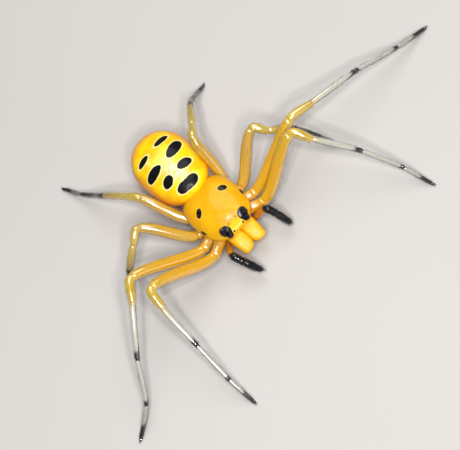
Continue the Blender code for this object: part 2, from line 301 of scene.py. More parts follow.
class SkinMaker:
    """Joins closed shells into one mesh with an atlas and the attributes that finishes read."""

    FLOOR_CLEAR = 0.32
    POLE_SHARE = 0.01
    NUMBERS = ("along", "upper", "hairs", "hair_length", "coat")

    def __init__(self, home: Home, name: str) -> None:
        """Starts an empty skin.

        Args:
            home: Where the body stands.
            name: Name of the finished object.
        """
        self.home = home
        self.name = name
        self.shells: list[Shell] = []

    def add(self, *shells: Shell) -> None:
        """Adds closed surfaces to the skin."""
        self.shells += shells

    @staticmethod
    def _faces(count: int, segments: int) -> tuple[list[Face], list[Span]]:
        """Faces of a grid with a pole at either end, and their corners in the unit square.

        Args:
            count: How many rings the grid has.
            segments: How many points a ring has.

        Returns:
            The faces, and for each of their corners the share around and the row.
        """
        faces, corners = [], []
        last = count * segments + 1
        for j in range(segments):
            k = (j + 1) % segments
            faces.append((0, 1 + k, 1 + j))
            corners += [((j + 0.5) / segments, 0.0), ((j + 1) / segments, 1.0), (j / segments, 1.0)]
            base = (count - 1) * segments + 1
            faces.append((last, base + j, base + k))
            corners += [((j + 0.5) / segments, count + 1.0), (j / segments, float(count)),
                        ((j + 1) / segments, float(count))]
        for i in range(count - 1):
            for j in range(segments):
                k = (j + 1) % segments
                a, b = 1 + i * segments, 1 + (i + 1) * segments
                faces.append((a + j, a + k, b + k, b + j))
                corners += [(j / segments, i + 1.0), ((j + 1) / segments, i + 1.0),
                            ((j + 1) / segments, i + 2.0), (j / segments, i + 2.0)]
        return faces, corners

    def _outward_faces(self, points: np.ndarray, rings: np.ndarray) -> tuple[list[Face], list[Span]]:
        """Faces of a shell, turned so that they look outwards, and their corners.

        Args:
            points: The shell's points with its poles.
            rings: The same points by ring.

        Returns:
            The faces and their corners.
        """
        faces, corners = self._faces(*rings.shape[:2])
        if self._volume(points, faces) >= 0.0:
            return faces, corners
        faces = [face[::-1] for face in faces]
        return faces, self._reversed(faces, corners)

    def _unwrapped(self, rings: np.ndarray, corners: list[Span], place: Sequence[float]) -> np.ndarray:
        """The corners in a shell's rectangle of the atlas, with rows as far apart as on the shell.

        Args:
            rings: Points by ring.
            corners: Share around and row of each corner.
            place: Left edge, lower edge, width and height of the rectangle.

        Returns:
            A place in the bake map for each corner.
        """
        x, y, wide, tall = place
        steps = np.linalg.norm(np.diff(rings.mean(1), axis=0), axis=1)
        steps = np.maximum(steps, np.linalg.norm(np.diff(rings, axis=0), axis=2).mean(1))
        between = self.POLE_SHARE + (1 - 2 * self.POLE_SHARE) * np.cumsum(steps) / steps.sum()
        shares = np.concatenate([[0.0, self.POLE_SHARE], between, [1.0]])
        flat = np.array(corners)
        rows = flat[:, 1].astype(int)
        return np.stack([x + flat[:, 0] * wide, y + shares[rows] * tall], 1)

    def _numbers(self, shell: Shell, points: np.ndarray, ring: np.ndarray) -> dict[str, np.ndarray]:
        """What the finishes and coats read at each point of a shell.

        Args:
            shell: The surface.
            points: Its points with its poles.
            ring: The ring that each point is on.

        Returns:
            The numbers by the name of their attribute.
        """
        count, segments = shell.rings.shape[:2]
        upper = np.tile(np.cos(even_turns(segments)), count)
        made = {"upper": np.concatenate([[0.0], upper, [0.0]]),
                "coat": np.full(len(points), float(shell.coat.value))}
        for key in ("along", "hairs", "hair_length"):
            row = np.broadcast_to(np.asarray(getattr(shell, key), float), (count,))
            made[key] = row[ring] * (points[:, 2] > self.FLOOR_CLEAR if key == "hairs" else 1.0)
        return made

    def build(self, finishes: Sequence[Finish],
              materials: dict[Finish, bpy.types.Material]) -> bpy.types.Object:
        """Makes the joined object.

        Args:
            finishes: The order of the material slots.
            materials: The material of each finish.

        Returns:
            The skin, with its place in its mesh.
        """
        atlas = Atlas([shell.size() for shell in self.shells])
        points: list[np.ndarray] = []
        faces: list[Face] = []
        uvs: list[np.ndarray] = []
        slots: list[int] = []
        lies: list[np.ndarray] = []
        values: dict[str, list[np.ndarray]] = {key: [] for key in self.NUMBERS}
        for shell, place in zip(self.shells, atlas.places):
            count, segments = shell.rings.shape[:2]
            body = np.concatenate([shell.first[None], shell.rings.reshape(-1, 3), shell.last[None]])
            own, corners = self._outward_faces(body, shell.rings)
            start = sum(len(part) for part in points)
            points.append(body)
            faces += [tuple(start + vertex for vertex in face) for face in own]
            uvs.append(self._unwrapped(shell.rings, corners, place))
            slots += [finishes.index(shell.finish)] * len(own)
            ring = np.concatenate([[0], np.repeat(np.arange(count), segments), [count - 1]])
            for key, numbers in self._numbers(shell, body, ring).items():
                values[key].append(numbers)
            lies.append(np.broadcast_to(np.asarray(shell.lie, float), (count, 3))[ring])
        mesh = bpy.data.meshes.new(self.name)
        mesh.from_pydata(self.home.place(np.concatenate(points)).tolist(), [], faces)
        for finish in finishes:
            mesh.materials.append(materials[finish])
        mesh.polygons.foreach_set("material_index", slots)
        mesh.uv_layers.new(name=BAKE_MAP).data.foreach_set("uv", np.concatenate(uvs).ravel())
        for key, parts in values.items():
            mesh.attributes.new(key, "FLOAT", "POINT").data.foreach_set("value", np.concatenate(parts))
        lie_data = mesh.attributes.new("lie", "FLOAT_VECTOR", "POINT").data
        lie_data.foreach_set("vector", np.concatenate(lies).ravel())
        mesh.shade_smooth()
        mesh.validate()
        return linked(self.name, mesh)

    @staticmethod
    def _volume(points: np.ndarray, faces: Sequence[Face]) -> float:
        """Signed volume, below nought where the faces point inwards."""
        total = 0.0
        for size in (3, 4):
            some = np.array([face for face in faces if len(face) == size])
            if len(some):
                a = points[some[:, 0]]
                for i in range(1, size - 1):
                    total += (a * np.cross(points[some[:, i]], points[some[:, i + 1]])).sum()
        return total

    @staticmethod
    def _reversed(faces: Sequence[Face], corners: list[Span]) -> list[Span]:
        """The corners in the order of faces that were turned round."""
        turned, at = [], 0
        for face in faces:
            turned += corners[at:at + len(face)][::-1]
            at += len(face)
        return turned


@dataclass
class Limb:
    """A round limb along a smooth line, made of lengths that meet at waists.

    Attributes:
        points: Places along the middle line.
        along: The length's number plus the share of it, at each place.
        radii: Half the thickness at each place.
        joints: Distances from the start at which the limb has a waist.
        segments: Points around it.
        waist: Share of the radius that is missing at a joint.
        waist_reach: How far along the limb a waist goes.
        collar: Share by which the limb is thicker just before a waist.
        collar_place: How many reaches the collar stands before the waist.
        knuckle: Share by which a joint stands out at its sides.
        knuckle_reach: How many reaches of the waist a knuckle is long.
        knuckle_power: How narrow a knuckle is around the limb.
    """

    points: np.ndarray
    along: np.ndarray
    radii: np.ndarray
    joints: Sequence[float]
    segments: int = 20
    waist: float = 0.15
    waist_reach: float = 0.1
    collar: float = 0.05
    collar_place: float = 2.1
    knuckle: float = 0.08
    knuckle_reach: float = 1.4
    knuckle_power: int = 6

    def distances(self) -> np.ndarray:
        """Distance of each place from the start, along the line."""
        steps = np.linalg.norm(np.diff(self.points, axis=0), axis=1)
        return np.concatenate([[0.0], np.cumsum(steps)])

    def tangents(self) -> np.ndarray:
        """The direction of the line at each place."""
        return unit(np.gradient(self.points, axis=0))

    def shell(self, finish: Finish, coat: Coat, hairs: np.ndarray | float = 1.0,
              hair_length: np.ndarray | float = 1.0, floor: bool = False,
              widths: Span = (1.0, 1.0)) -> Shell:
        """Makes the limb's surface.

        Args:
            finish: What it wears.
            coat: The setae that grow on it.
            hairs: Share of the coat's density at each place.
            hair_length: Share of the coat's length at each place.
            floor: Whether the underside is flattened on the floor.
            widths: How much wider and how much deeper than round it is.

        Returns:
            The closed shell.
        """
        way = self.tangents()
        above = unit(vec(0.0, 0.0, 1.0) - way * way[:, 2:3])
        beside = np.cross(way, above)
        turn = even_turns(self.segments)
        lateral = np.abs(np.sin(turn)) ** self.knuckle_power
        distance = self.distances()
        reach = self.waist_reach
        radii = self.radii[:, None] * np.ones(self.segments)
        for joint in self.joints:
            off = distance - joint
            radii *= (1.0 - self.waist * bump(off, reach))[:, None]
            radii *= (1.0 + self.collar * bump(off + self.collar_place * reach, reach))[:, None]
            radii *= 1.0 + self.knuckle * bump(off, self.knuckle_reach * reach)[:, None] * lateral
        rings = self.points[:, None] + radii[..., None] * (
            above[:, None] * (np.cos(turn) * widths[1])[:, None]
            + beside[:, None] * (np.sin(turn) * widths[0])[:, None])
        if floor:
            rings[..., 2] = np.maximum(rings[..., 2], 0.0)
        first, last = self.points[0].copy(), self.points[-1].copy()
        return Shell(rings, first, last, finish, coat, self.along, way, hairs, hair_length)


def profile(shares: Sequence[float], at: np.ndarray) -> np.ndarray:
    """A radius profile, given at even steps, read smoothly.

    Args:
        shares: Values at even steps from 0 to 1.
        at: Where to read them, from 0 to 1.

    Returns:
        The values there.
    """
    place = np.clip(at, 0.0, 1.0) * (len(shares) - 1)
    low = np.minimum(place.astype(int), len(shares) - 2)
    t = place - low
    p = np.array([2 * shares[0] - shares[1], *shares, 2 * shares[-1] - shares[-2]])
    a, b, c, d = p[low], p[low + 1], p[low + 2], p[low + 3]
    return b + 0.5 * t * (c - a + t * (2 * a - 5 * b + 4 * c - d + t * (3 * (b - c) + d - a)))


def blended(radii: np.ndarray, reach: int = 2, rounds: int = 2, kept: int = 5) -> np.ndarray:
    """Softens the steps between the lengths of a limb.

    Args:
        radii: Half the thickness at each place.
        reach: How many places on either side count.
        rounds: How often it is done.
        kept: How many places at the tip stay as they are.

    Returns:
        The softened radii.
    """
    soft = radii.copy()
    kernel = np.ones(2 * reach + 1) / (2 * reach + 1)
    for _ in range(rounds):
        padded = np.concatenate([soft[:1].repeat(reach), soft, soft[-1:].repeat(reach)])
        soft = np.convolve(padded, kernel, "valid")
    soft[-kept:] = radii[-kept:]
    return soft


def hook(points: Sequence[np.ndarray], radius: float, tip: float, power: float, steps: int,
         segments: int) -> Shell:
    """A bent, pointed horn, such as a claw or a fang.

    Args:
        points: Its base, the place that it bends towards and its tip.
        radius: Half its thickness at the base.
        tip: Half its thickness at the tip.
        power: Below one, how long it stays thick.
        steps: How many places its middle line has.
        segments: Points around it.

    Returns:
        The closed shell.
    """
    a, b, c = points
    t = np.linspace(0.0, 1.0, steps)[:, None]
    line = a * (1 - t) ** 2 + 2 * b * t * (1 - t) + c * t**2
    size = radius * (1 - t[:, 0]) ** power + tip
    return Limb(line, t[:, 0], size, (), segments=segments).shell(Finish.JAW, Coat.NONE)


@dataclass
class Leg:
    """One leg: where its joints lie and how thick it is.

    Attributes:
        side: left or right.
        number: 1 to 4 from the front.
        hip: End of the trochanter on the left side.
        root: Where the coxa leaves the sternum on the left side.
        lengths: Femur, patella, tibia, metatarsus and tarsus.
        radii: Thickest radius of the same five, then of the coxa.
        headings: Degrees from straight ahead towards the leg's own side, for the same five.
        climbs: Degrees of climb of the first four.
        stretch: How much longer than its pair's usual size the leg is beyond the knee.
        pull: Share of a length by which its ends keep their direction.
        collar: How long the straight ends of a length are.
        hip_share: Share of the coxa's direction in the bend at the hip.
        knee_share: Share of the femur's direction in the bend at the knee.
        foot_height: Height of the toe's middle line.
        foot_flat: Length of the toe that lies on the floor.
        tip_radius: Radius of the toe.
        ring_step: Distance between two rings.
        toe_steps: Places along the toe, as shares of its length.
        toe_along: What the toe adds to the leg's number of lengths.
        toe_power: How late the toe is rounded off.
        toe_end: Least share, squared, of the radius at the toe's end.
        hairs: Places along the leg and the share of the coat's density there.
        hair_lengths: The same for the coat's length.
    """

    side: str
    number: int
    hip: Sequence[float]
    root: Sequence[float]
    lengths: Sequence[float]
    radii: Sequence[float]
    headings: Sequence[float]
    climbs: Sequence[float]
    stretch: float = 1.0
    pull: float = 0.55
    collar: float = 0.24
    hip_share: float = 0.5
    knee_share: float = 0.72
    foot_height: float = 0.15
    foot_flat: float = 0.35
    tip_radius: float = 0.19
    ring_step: float = 0.1
    toe_steps: Sequence[float] = (0.25, 0.5, 0.7, 0.85, 0.94, 0.985, 1.0)
    toe_along: float = 0.1
    toe_power: float = 3.2
    toe_end: float = 0.02
    hairs: Sequence[Sequence[float]] = ((0.0, 0.9, 1.2, 2.0, 3.0, 4.0, 5.0, 5.4, 6.1),
                                        (0.1, 0.15, 0.25, 0.3, 0.55, 0.8, 1.1, 1.8, 2.2))
    hair_lengths: Sequence[Sequence[float]] = ((0.0, 2.0, 4.0, 6.0), (0.8, 0.9, 1.0, 0.8))
    coxa_profile: Sequence[float] = (0.9, 1.0, 1.12, 1.1, 0.98, 1.0, 1.0)
    femur_profile: Sequence[float] = (0.9, 0.93, 0.98, 1.0, 1.0, 0.99, 0.97, 0.93, 0.87, 0.8)
    patella_profile: Sequence[float] = (0.92, 0.97, 1.02, 1.0, 0.94, 0.84, 0.72)
    tibia_profile: Sequence[float] = (0.94, 0.97, 1.0, 0.97, 0.91, 0.87, 0.83, 0.82)
    metatarsus_profile: Sequence[float] = (0.96, 0.98, 1.0, 0.98, 0.95, 0.94)
    tarsus_profile: Sequence[float] = (0.95, 1.0, 1.0, 0.97, 0.9)

    def name(self) -> str:
        """The start of the names of the leg's nodes."""
        return f"leg_{self.side}_{self.number}"

    def way(self, heading: float, climb: float) -> np.ndarray:
        """The direction of a length with that heading and climb."""
        flat, turn = math.cos(math.radians(climb)), math.radians(heading)
        return vec(side_sign(self.side) * math.sin(turn) * flat, -math.cos(turn) * flat,
                   math.sin(math.radians(climb)))

    def joints(self) -> list[np.ndarray]:
        """Hip, knee, patella end, tibia end, metatarsus end and tip."""
        lengths = [self.lengths[0]] + [part * self.stretch for part in self.lengths[1:]]
        places = [mirrored(self.hip, self.side)]
        for length, heading, climb in zip(lengths, self.headings, self.climbs):
            places.append(places[-1] + self.way(heading, climb) * length)
        climb = math.degrees(math.asin((self.foot_height - places[-1][2]) / lengths[4]))
        places.append(places[-1] + self.way(self.headings[4], climb) * lengths[4])
        return places

    def limb(self) -> tuple[Limb, np.ndarray]:
        """The leg as one limb from the coxa to the toe.

        Returns:
            The limb and the direction in which its toe points.
        """
        places = self.joints()
        root = mirrored(self.root, self.side)
        ways = [unit(b - a) for a, b in zip(places, places[1:])]
        root_way = unit(places[0] - root)
        turns = [root_way, unit(root_way * self.hip_share + ways[0] * (1 - self.hip_share)),
                 unit(ways[0] * self.knee_share + ways[1] * (1 - self.knee_share)),
                 unit(ways[1] + ways[2]), unit(ways[2] + ways[3]), unit(ways[3] + ways[4]), ways[4]]
        stops = [root] + places
        shares = (self.coxa_profile, self.femur_profile, self.patella_profile,
                  self.tibia_profile, self.metatarsus_profile, self.tarsus_profile)
        radii = (self.radii[5], *self.radii[:5])
        lines, alongs, sizes, joints = [], [], [], []
        total = 0.0
        for i, (share, radius) in enumerate(zip(shares, radii)):
            line = self._length(stops[i], stops[i + 1], turns[i], turns[i + 1])
            steps = np.concatenate([[0.0], np.cumsum(np.linalg.norm(np.diff(line, axis=0), axis=1))])
            at = steps / steps[-1]
            keep = slice(0, None) if i == 0 else slice(1, None)
            lines.append(line[keep])
            alongs.append((i + at)[keep])
            sizes.append((radius * profile(share, at))[keep])
            total += steps[-1]
            joints.append(total)
        toe = unit(vec(ways[4][0], ways[4][1], 0.0))
        steps = np.array(self.toe_steps)
        lines.append(places[5] + toe * self.foot_flat * steps[:, None])
        alongs.append(float(len(shares)) + self.toe_along * steps)
        start = radii[5] * self.tarsus_profile[-1]
        round_end = np.sqrt(np.maximum(self.toe_end, 1.0 - steps**self.toe_power))
        sizes.append((start + (self.tip_radius - start) * np.minimum(1.0, 2 * steps)) * round_end)
        radius = blended(np.concatenate(sizes))
        return Limb(np.concatenate(lines), np.concatenate(alongs), radius, joints[:-1]), toe

    def _length(self, start: np.ndarray, end: np.ndarray, way_in: np.ndarray,
                way_out: np.ndarray) -> np.ndarray:
        """The middle line of one length, straight at both ends.

        Args:
            start: Where it starts.
            end: Where it ends.
            way_in: The direction at its start.
            way_out: The direction at its end.

        Returns:
            Points along the line.
        """
        first, last = start + way_in * self.collar, end - way_out * self.collar
        reach = float(np.linalg.norm(last - first))
        steps = max(4, round(reach / self.ring_step))
        middle = hermite(first, last, way_in * reach * self.pull, way_out * reach * self.pull, steps)
        near = np.linspace(0.0, 1.0, 4)[:-1, None]
        head = start + (first - start) * near
        tail = last + (end - last) * (1 - near[::-1])
        return np.concatenate([head, middle, tail])

    def shell(self) -> Shell:
        """The leg's skin, with more and longer setae towards the foot."""
        limb, _ = self.limb()
        front = self.number <= 2
        hairs, length = (np.interp(limb.along, *rows) for rows in (self.hairs, self.hair_lengths))
        return limb.shell(Finish.FRONT_LEG if front else Finish.HIND_LEG,
                          Coat.FRONT_LEGS if front else Coat.HIND_LEGS, hairs, length, floor=True)


# Lengths of femur, patella, tibia, metatarsus and tarsus, then their thickest radii and the coxa's.
LEG_SIZES = {
    1: ((7.65, 2.35, 5.0, 4.55, 3.2), (0.63, 0.48, 0.33, 0.25, 0.23, 0.56)),
    2: ((8.15, 2.75, 5.85, 4.9, 3.6), (0.63, 0.48, 0.34, 0.25, 0.23, 0.56)),
    3: ((5.9, 1.75, 3.05, 2.85, 2.0), (0.6, 0.48, 0.4, 0.27, 0.22, 0.52)),
    4: ((5.5, 1.8, 3.3, 3.0, 2.25), (0.58, 0.46, 0.38, 0.27, 0.22, 0.5)),
}
# Where the trochanter ends and where the coxa starts, on the left side.
LEG_ROOTS = {
    1: ((3.75, -2.95, 2.4), (1.05, -1.7, 2.25)),
    2: ((3.92, -1.55, 2.4), (1.42, -0.75, 2.2)),
    3: ((3.3, -0.05, 2.4), (1.42, 0.22, 2.2)),
    4: ((2.45, 1.75, 2.15), (1.05, 1.1, 2.2)),
}
# Headings of the five lengths, climbs of the first four, and the stretch beyond the knee.
LEG_POSES = {
    ("left", 1): ((97, 32, 33, 24, 15), (35, -16, -28, -28), 1.0),
    ("right", 1): ((98, 21, 6, 5, 0), (31, -13, -26, -26), 1.0),
    ("left", 2): ((96, 83, 86, 82, 86), (27, -9, -19, -24), 1.035),
    ("right", 2): ((105, 47, 47, 43, 64), (29, -5, -23, -30), 0.955),
    ("left", 3): ((113, 43, 54, 34, 22), (30, -16, -32, -45), 1.0),
    ("right", 3): ((139, 70, 68, 56, 46), (27, -12, -34, -43), 1.0),
    ("left", 4): ((164, 145, 146, 147, 114), (40, -13, -25, -55), 0.98),
    ("right", 4): ((158, 152, 152, 155, 160), (22, -10, -26, -29), 1.06),
}


def all_legs() -> list[Leg]:
    """The eight legs in their pose."""
    legs = []
    for (side, number), (headings, climbs, stretch) in LEG_POSES.items():
        lengths, radii = LEG_SIZES[number]
        hip, root = LEG_ROOTS[number]
        legs.append(Leg(side, number, hip, root, lengths, radii, headings, climbs, stretch))
    return legs


@dataclass
class Carapace:
    """The shield over the front body, with low mounds for the eyes."""

    rim: float = 3.2
    width: float = 5.95
    front: float = 3.5
    rear: float = 3.0
    dome: float = 1.85
    belly: float = 0.3
    front_power: float = 2.7
    rear_power: float = 3.0
    dome_power: float = 2.3
    rings: int = 110
    segments: int = 96
    side_eyes: tuple[Span, ...] = ((1.13, -3.22), (1.5, -2.66))
    middle_eyes: tuple[Span, ...] = ((0.62, -3.32), (0.5, -2.7))
    side_mound: Span = (0.2, 0.46)
    middle_mound: Span = (0.1, 0.17)
    margin_bead: float = 0.05
    bead_place: float = 0.985
    bead_reach: float = 0.02
    groove: float = 0.012
    groove_apart: float = 0.45
    groove_spread: float = 0.55
    groove_reach: float = 0.2
    groove_front: Span = (-2.0, -1.2)
    groove_rear: Span = (0.7, 1.1)
    pit: float = 0.02
    pit_place: float = 0.95
    pit_reach: Span = (0.12, 0.35)
    lip: float = 0.05
    lip_place: float = -3.36
    lip_reach: float = 0.07
    lip_end: Span = (1.0, 1.5)
    hairs: float = 0.35
    hair_length: float = 0.7

    def height(self, x: np.ndarray | float, y: np.ndarray | float) -> np.ndarray:
        """Height of the upper face above a place in plan."""
        out = self._out(np.asarray(x, float), np.asarray(y, float))
        return self.rim + self.dome * superellipse(out, self.dome_power)

    def _out(self, x: np.ndarray, y: np.ndarray) -> np.ndarray:
        """How far out in plan a place is, 1 on the rim.

        Args:
            x: Place across.
            y: Place along.

        Returns:
            The share of the way out.
        """
        ahead = y < 0.0
        power = np.where(ahead, self.front_power, self.rear_power)
        reach = np.where(ahead, self.front, self.rear)
        return (np.abs(x / (self.width / 2)) ** power + np.abs(y / reach) ** power) ** (1 / power)

    def normal(self, x: float, y: float, step: float = 0.05) -> np.ndarray:
        """The upper face's unit normal."""
        slope_x = (self.height(x + step, y) - self.height(x - step, y)) / (2 * step)
        slope_y = (self.height(x, y + step) - self.height(x, y - step)) / (2 * step)
        return unit(vec(-float(slope_x), -float(slope_y), 1.0))

    def shell(self) -> Shell:
        """The carapace's surface, closed below."""
        turn, lengthwise = even_turns(self.segments), bunched(self.rings)
        y = np.where(lengthwise < 0.0, self.front, self.rear) * lengthwise
        powers = np.where(lengthwise < 0.0, self.front_power, self.rear_power)
        half = self.width / 2 * np.maximum(0.0, 1 - np.abs(lengthwise) ** powers) ** (1 / powers)
        x = half[:, None] * np.sin(turn)
        across = np.broadcast_to(y[:, None], x.shape)
        out = np.minimum(1.0, self._out(x, across))
        upper = np.cos(turn) > 0.0
        lift = np.where(upper, self.dome, -self.belly)
        rings = np.stack([x, across, self.rim + lift * superellipse(out, self.dome_power)], -1)
        rings += outward(rings) * (self._relief(x, across, out) * upper)[..., None]
        first, last = vec(0, -self.front, self.rim), vec(0, self.rear, self.rim)
        return Shell(rings, first, last, Finish.CARAPACE, Coat.BODY, hairs=self.hairs,
                     hair_length=self.hair_length)

    def _relief(self, x: np.ndarray, y: np.ndarray, out: np.ndarray) -> np.ndarray:
        """How far the surface stands proud of the plain dome.

        Args:
            x: Place across.
            y: Place along.
            out: How far out in plan, 1 on the rim.

        Returns:
            Millimetres along the normal.
        """
        side = np.abs(x)
        relief = np.zeros_like(x)
        mounds = (self.side_eyes, self.side_mound), (self.middle_eyes, self.middle_mound)
        for eyes, (rise, reach) in mounds:
            for eye in eyes:
                relief = np.maximum(relief, rise * bump(np.hypot(side - eye[0], y - eye[1]), reach))
        relief += self.margin_bead * bump(out - self.bead_place, self.bead_reach)
        line = side - (self.groove_apart + self.groove_spread * (self.pit_place - y))
        fade = eased(y, *self.groove_front) * (1 - eased(y, *self.groove_rear))
        relief -= self.groove * bump(line, self.groove_reach) * fade
        relief -= self.pit * bump(side, self.pit_reach[0]) * bump(y - self.pit_place, self.pit_reach[1])
        ridge = bump(y - self.lip_place, self.lip_reach) * (1 - eased(side, *self.lip_end))
        return relief + self.lip * ridge


@dataclass
class Abdomen:
    """The egg-shaped rear body, whose blunt front lies on the back of the carapace."""

    width: float = 6.52
    front: float = 2.65
    widest: float = 7.4
    rear: float = 11.15
    middle: float = 3.2
    top: float = 2.6
    belly: float = 2.35
    rear_power: float = 2.15
    front_power: float = 3.0
    lean: float = 0.65
    sway: float = -0.05
    rings: int = 130
    segments: int = 96
    fold: float = 0.02
    folds: int = 7
    fold_zone: Span = (-0.25, 0.6)
    hairs: float = 0.6
    hair_length: float = 0.7

    def point(self, x: float, y: float) -> np.ndarray:
        """The place on the upper face that lies over x, y before the front is leaned.

        Args:
            x: Place across.
            y: Place along.

        Returns:
            The point.
        """
        lengthwise = np.array(self._lengthwise(y))
        swell = float(self._swell(lengthwise))
        across = min(1.0, abs(x - self.sway) / max(TINY, self.width / 2 * swell))
        place = vec(x, y, self.middle + self.top * swell * math.sqrt(1 - across * across))
        place[1] -= self._leaning(lengthwise) * (place[2] - self.middle)
        return place

    def _leaning(self, lengthwise: np.ndarray) -> np.ndarray:
        """How far a place comes forward for each millimetre of height."""
        return self.lean * np.minimum(0.0, lengthwise) ** 2

    def _lengthwise(self, y: float) -> float:
        """Share of the way from the widest place to the rear or, below nought, to the front."""
        reach = self.rear - self.widest if y > self.widest else self.widest - self.front
        return (y - self.widest) / reach

    def _swell(self, lengthwise: np.ndarray) -> np.ndarray:
        """Share of the full width at a place along the body."""
        rear = superellipse(lengthwise, self.rear_power)
        return np.where(lengthwise > 0.0, rear, superellipse(lengthwise, self.front_power))

    def frame_at(self, x: float, y: float, angle: float) -> Matrix:
        """Axes lying on the upper face, for a marking there.

        Args:
            x: Place across.
            y: Place along.
            angle: Degrees by which the marking's long axis turns from straight across.

        Returns:
            A matrix whose columns are the long axis, the short axis and the normal.
        """
        step = 0.05
        across = self.point(x + step, y) - self.point(x - step, y)
        back = self.point(x, y + step) - self.point(x, y - step)
        return surface_frame(np.cross(across, back), angle)

    def shell(self) -> Shell:
        """The abdomen's surface."""
        turn, lengthwise = even_turns(self.segments), bunched(self.rings)
        reach = np.where(lengthwise > 0.0, self.rear - self.widest, self.widest - self.front)
        y = self.widest + reach * lengthwise
        swell = self._swell(lengthwise)
        tall = np.where(np.cos(turn) > 0.0, self.top, self.belly)
        rings = np.stack([
            self.width / 2 * swell[:, None] * np.sin(turn),
            np.broadcast_to(y[:, None], (self.rings, self.segments)),
            self.middle + swell[:, None] * tall * np.cos(turn),
        ], -1)
        wave = np.cos(self.folds * math.pi * lengthwise)[:, None]
        low = eased(-np.cos(turn), *self.fold_zone)[None]
        rings += outward(rings) * (self.fold * wave * low - self.fold * low)[..., None]
        rings[..., 0] += self.sway
        rings[..., 1] -= self._leaning(lengthwise)[:, None] * (rings[..., 2] - self.middle)
        first, last = vec(self.sway, self.front, self.middle), vec(self.sway, self.rear, self.middle)
        return Shell(rings, first, last, Finish.ABDOMEN, Coat.BODY, hairs=self.hairs,
                     hair_length=self.hair_length)


def surface_frame(normal: np.ndarray, angle: float) -> Matrix:
    """Axes on a surface.

    Args:
        normal: The way that the surface looks.
        angle: Degrees by which the long axis turns from straight across.

    Returns:
        A matrix whose columns are the long axis, the short axis and the normal.
    """
    out = Vector(unit(normal).tolist())
    across = (Vector((1, 0, 0)) - out * out.x).normalized()
    turned = Matrix.Rotation(math.radians(angle), 3, out) @ across
    return Matrix((turned, out.cross(turned), out)).transposed()


@dataclass(frozen=True)
class Pad:
    """A rounded pad along the body's length: its middle, half its size and how full its ends are."""

    centre: Triple
    half: Triple
    power: float
    coat: Coat = Coat.BODY
    rings: int = 20
    segments: int = 32

    def shell(self, side: str = "left") -> Shell:
        """The pad's surface, on the given side.

        Args:
            side: left or right.

        Returns:
            The closed shell.
        """
        turn, lengthwise = even_turns(self.segments), bunched(self.rings)
        (x, y, z), half = mirrored(self.centre, side), self.half
        swell = superellipse(lengthwise, self.power)[:, None]
        rings = np.stack([
            x + half[0] * swell * np.sin(turn),
            np.broadcast_to((y + half[1] * lengthwise)[:, None], (self.rings, self.segments)),
            z + half[2] * swell * np.cos(turn),
        ], -1)
        return Shell(rings, vec(x, y - half[1], z), vec(x, y + half[1], z), Finish.UNDERSIDE, self.coat)


@dataclass(frozen=True)
class Spinneret:
    """One small cone at the rear end: its place, thickness and length."""

    out: float
    back: float
    drop: float
    radius: float
    length: float
    spread: float = 0.12
    taper: float = 0.35
    end_power: int = 6
    end_size: float = 0.03
    rings: int = 14
    joint_share: float = 0.55

    def shell(self, root: Sequence[float], way: np.ndarray, side: str) -> Shell:
        """Makes the cone.

        Args:
            root: How far back and how high the group stands.
            way: The direction of the whole group.
            side: left or right.

        Returns:
            The closed shell.
        """
        base = vec(side_sign(side) * self.out, root[0] + self.back, root[1] - self.drop)
        spread = unit(way + vec(side_sign(side) * self.spread, 0.0, 0.0))
        t = np.linspace(0.0, 1.0, self.rings)
        line = base + spread * (self.length * t)[:, None]
        round_end = np.sqrt(np.maximum(self.end_size, 1 - t**self.end_power))
        size = self.radius * (1 - self.taper * t) * round_end
        limb = Limb(line, t, size, (self.joint_share * self.length,), segments=12, waist=0.12,
                    waist_reach=0.04, collar=0.0, knuckle=0.0)
        return limb.shell(Finish.UNDERSIDE, Coat.BODY)


@dataclass
class Underbody:
    """What lies below the shields: chest plate, flanks, lip, mouth lobes, waist and spinnerets."""

    sternum: Pad = Pad((0.0, -0.28, 2.35), (1.25, 1.65, 0.5), 2.4)
    flanks: Pad = Pad((0.0, -0.35, 2.75), (2.45, 2.75, 0.62), 3.0, Coat.NONE)
    lip: Pad = Pad((0.0, -2.15, 1.95), (0.36, 0.5, 0.22), 2.3)
    lobe: Pad = Pad((0.78, -2.6, 1.85), (0.42, 0.8, 0.3), 2.3)
    waist_start: float = 0.9
    waist_height: float = 2.4
    waist_overlap: float = 1.2
    waist_radius: float = 0.36
    waist_flare: float = 0.12
    waist_rings: int = 16
    spinneret_way: Triple = (0.0, 0.8, -0.6)
    spinneret_inset: float = 0.28
    spinnerets: tuple[Spinneret, ...] = (
        Spinneret(0.17, 0.0, 1.12, 0.15, 0.68), Spinneret(0.07, 0.02, 1.0, 0.08, 0.42),
        Spinneret(0.2, 0.1, 0.86, 0.13, 0.6),
    )

    def shells(self, abdomen: Abdomen) -> list[Shell]:
        """All the surfaces of the underside.

        Args:
            abdomen: What the waist and the spinnerets hang on.

        Returns:
            Closed shells.
        """
        made = [pad.shell() for pad in (self.sternum, self.flanks, self.lip)]
        made += [self.lobe.shell(side) for side in SIDES]
        made.append(self._waist(abdomen))
        root = abdomen.rear - self.spinneret_inset, abdomen.middle
        way = unit(vec(*self.spinneret_way))
        return made + [cone.shell(root, way, side) for cone in self.spinnerets for side in SIDES]

    def _waist(self, abdomen: Abdomen) -> Shell:
        """The stalk between the two halves of the body, thinnest in the middle.

        Args:
            abdomen: What it leads to.

        Returns:
            The closed shell.
        """
        count, height = self.waist_rings, self.waist_height
        line = np.linspace(vec(0, self.waist_start, height),
                           vec(0, abdomen.front + self.waist_overlap, height), count)
        size = self.waist_radius + self.waist_flare * np.abs(np.linspace(-1, 1, count)) ** 2
        return Limb(line, np.zeros(count), size, ()).shell(Finish.UNDERSIDE, Coat.NONE)


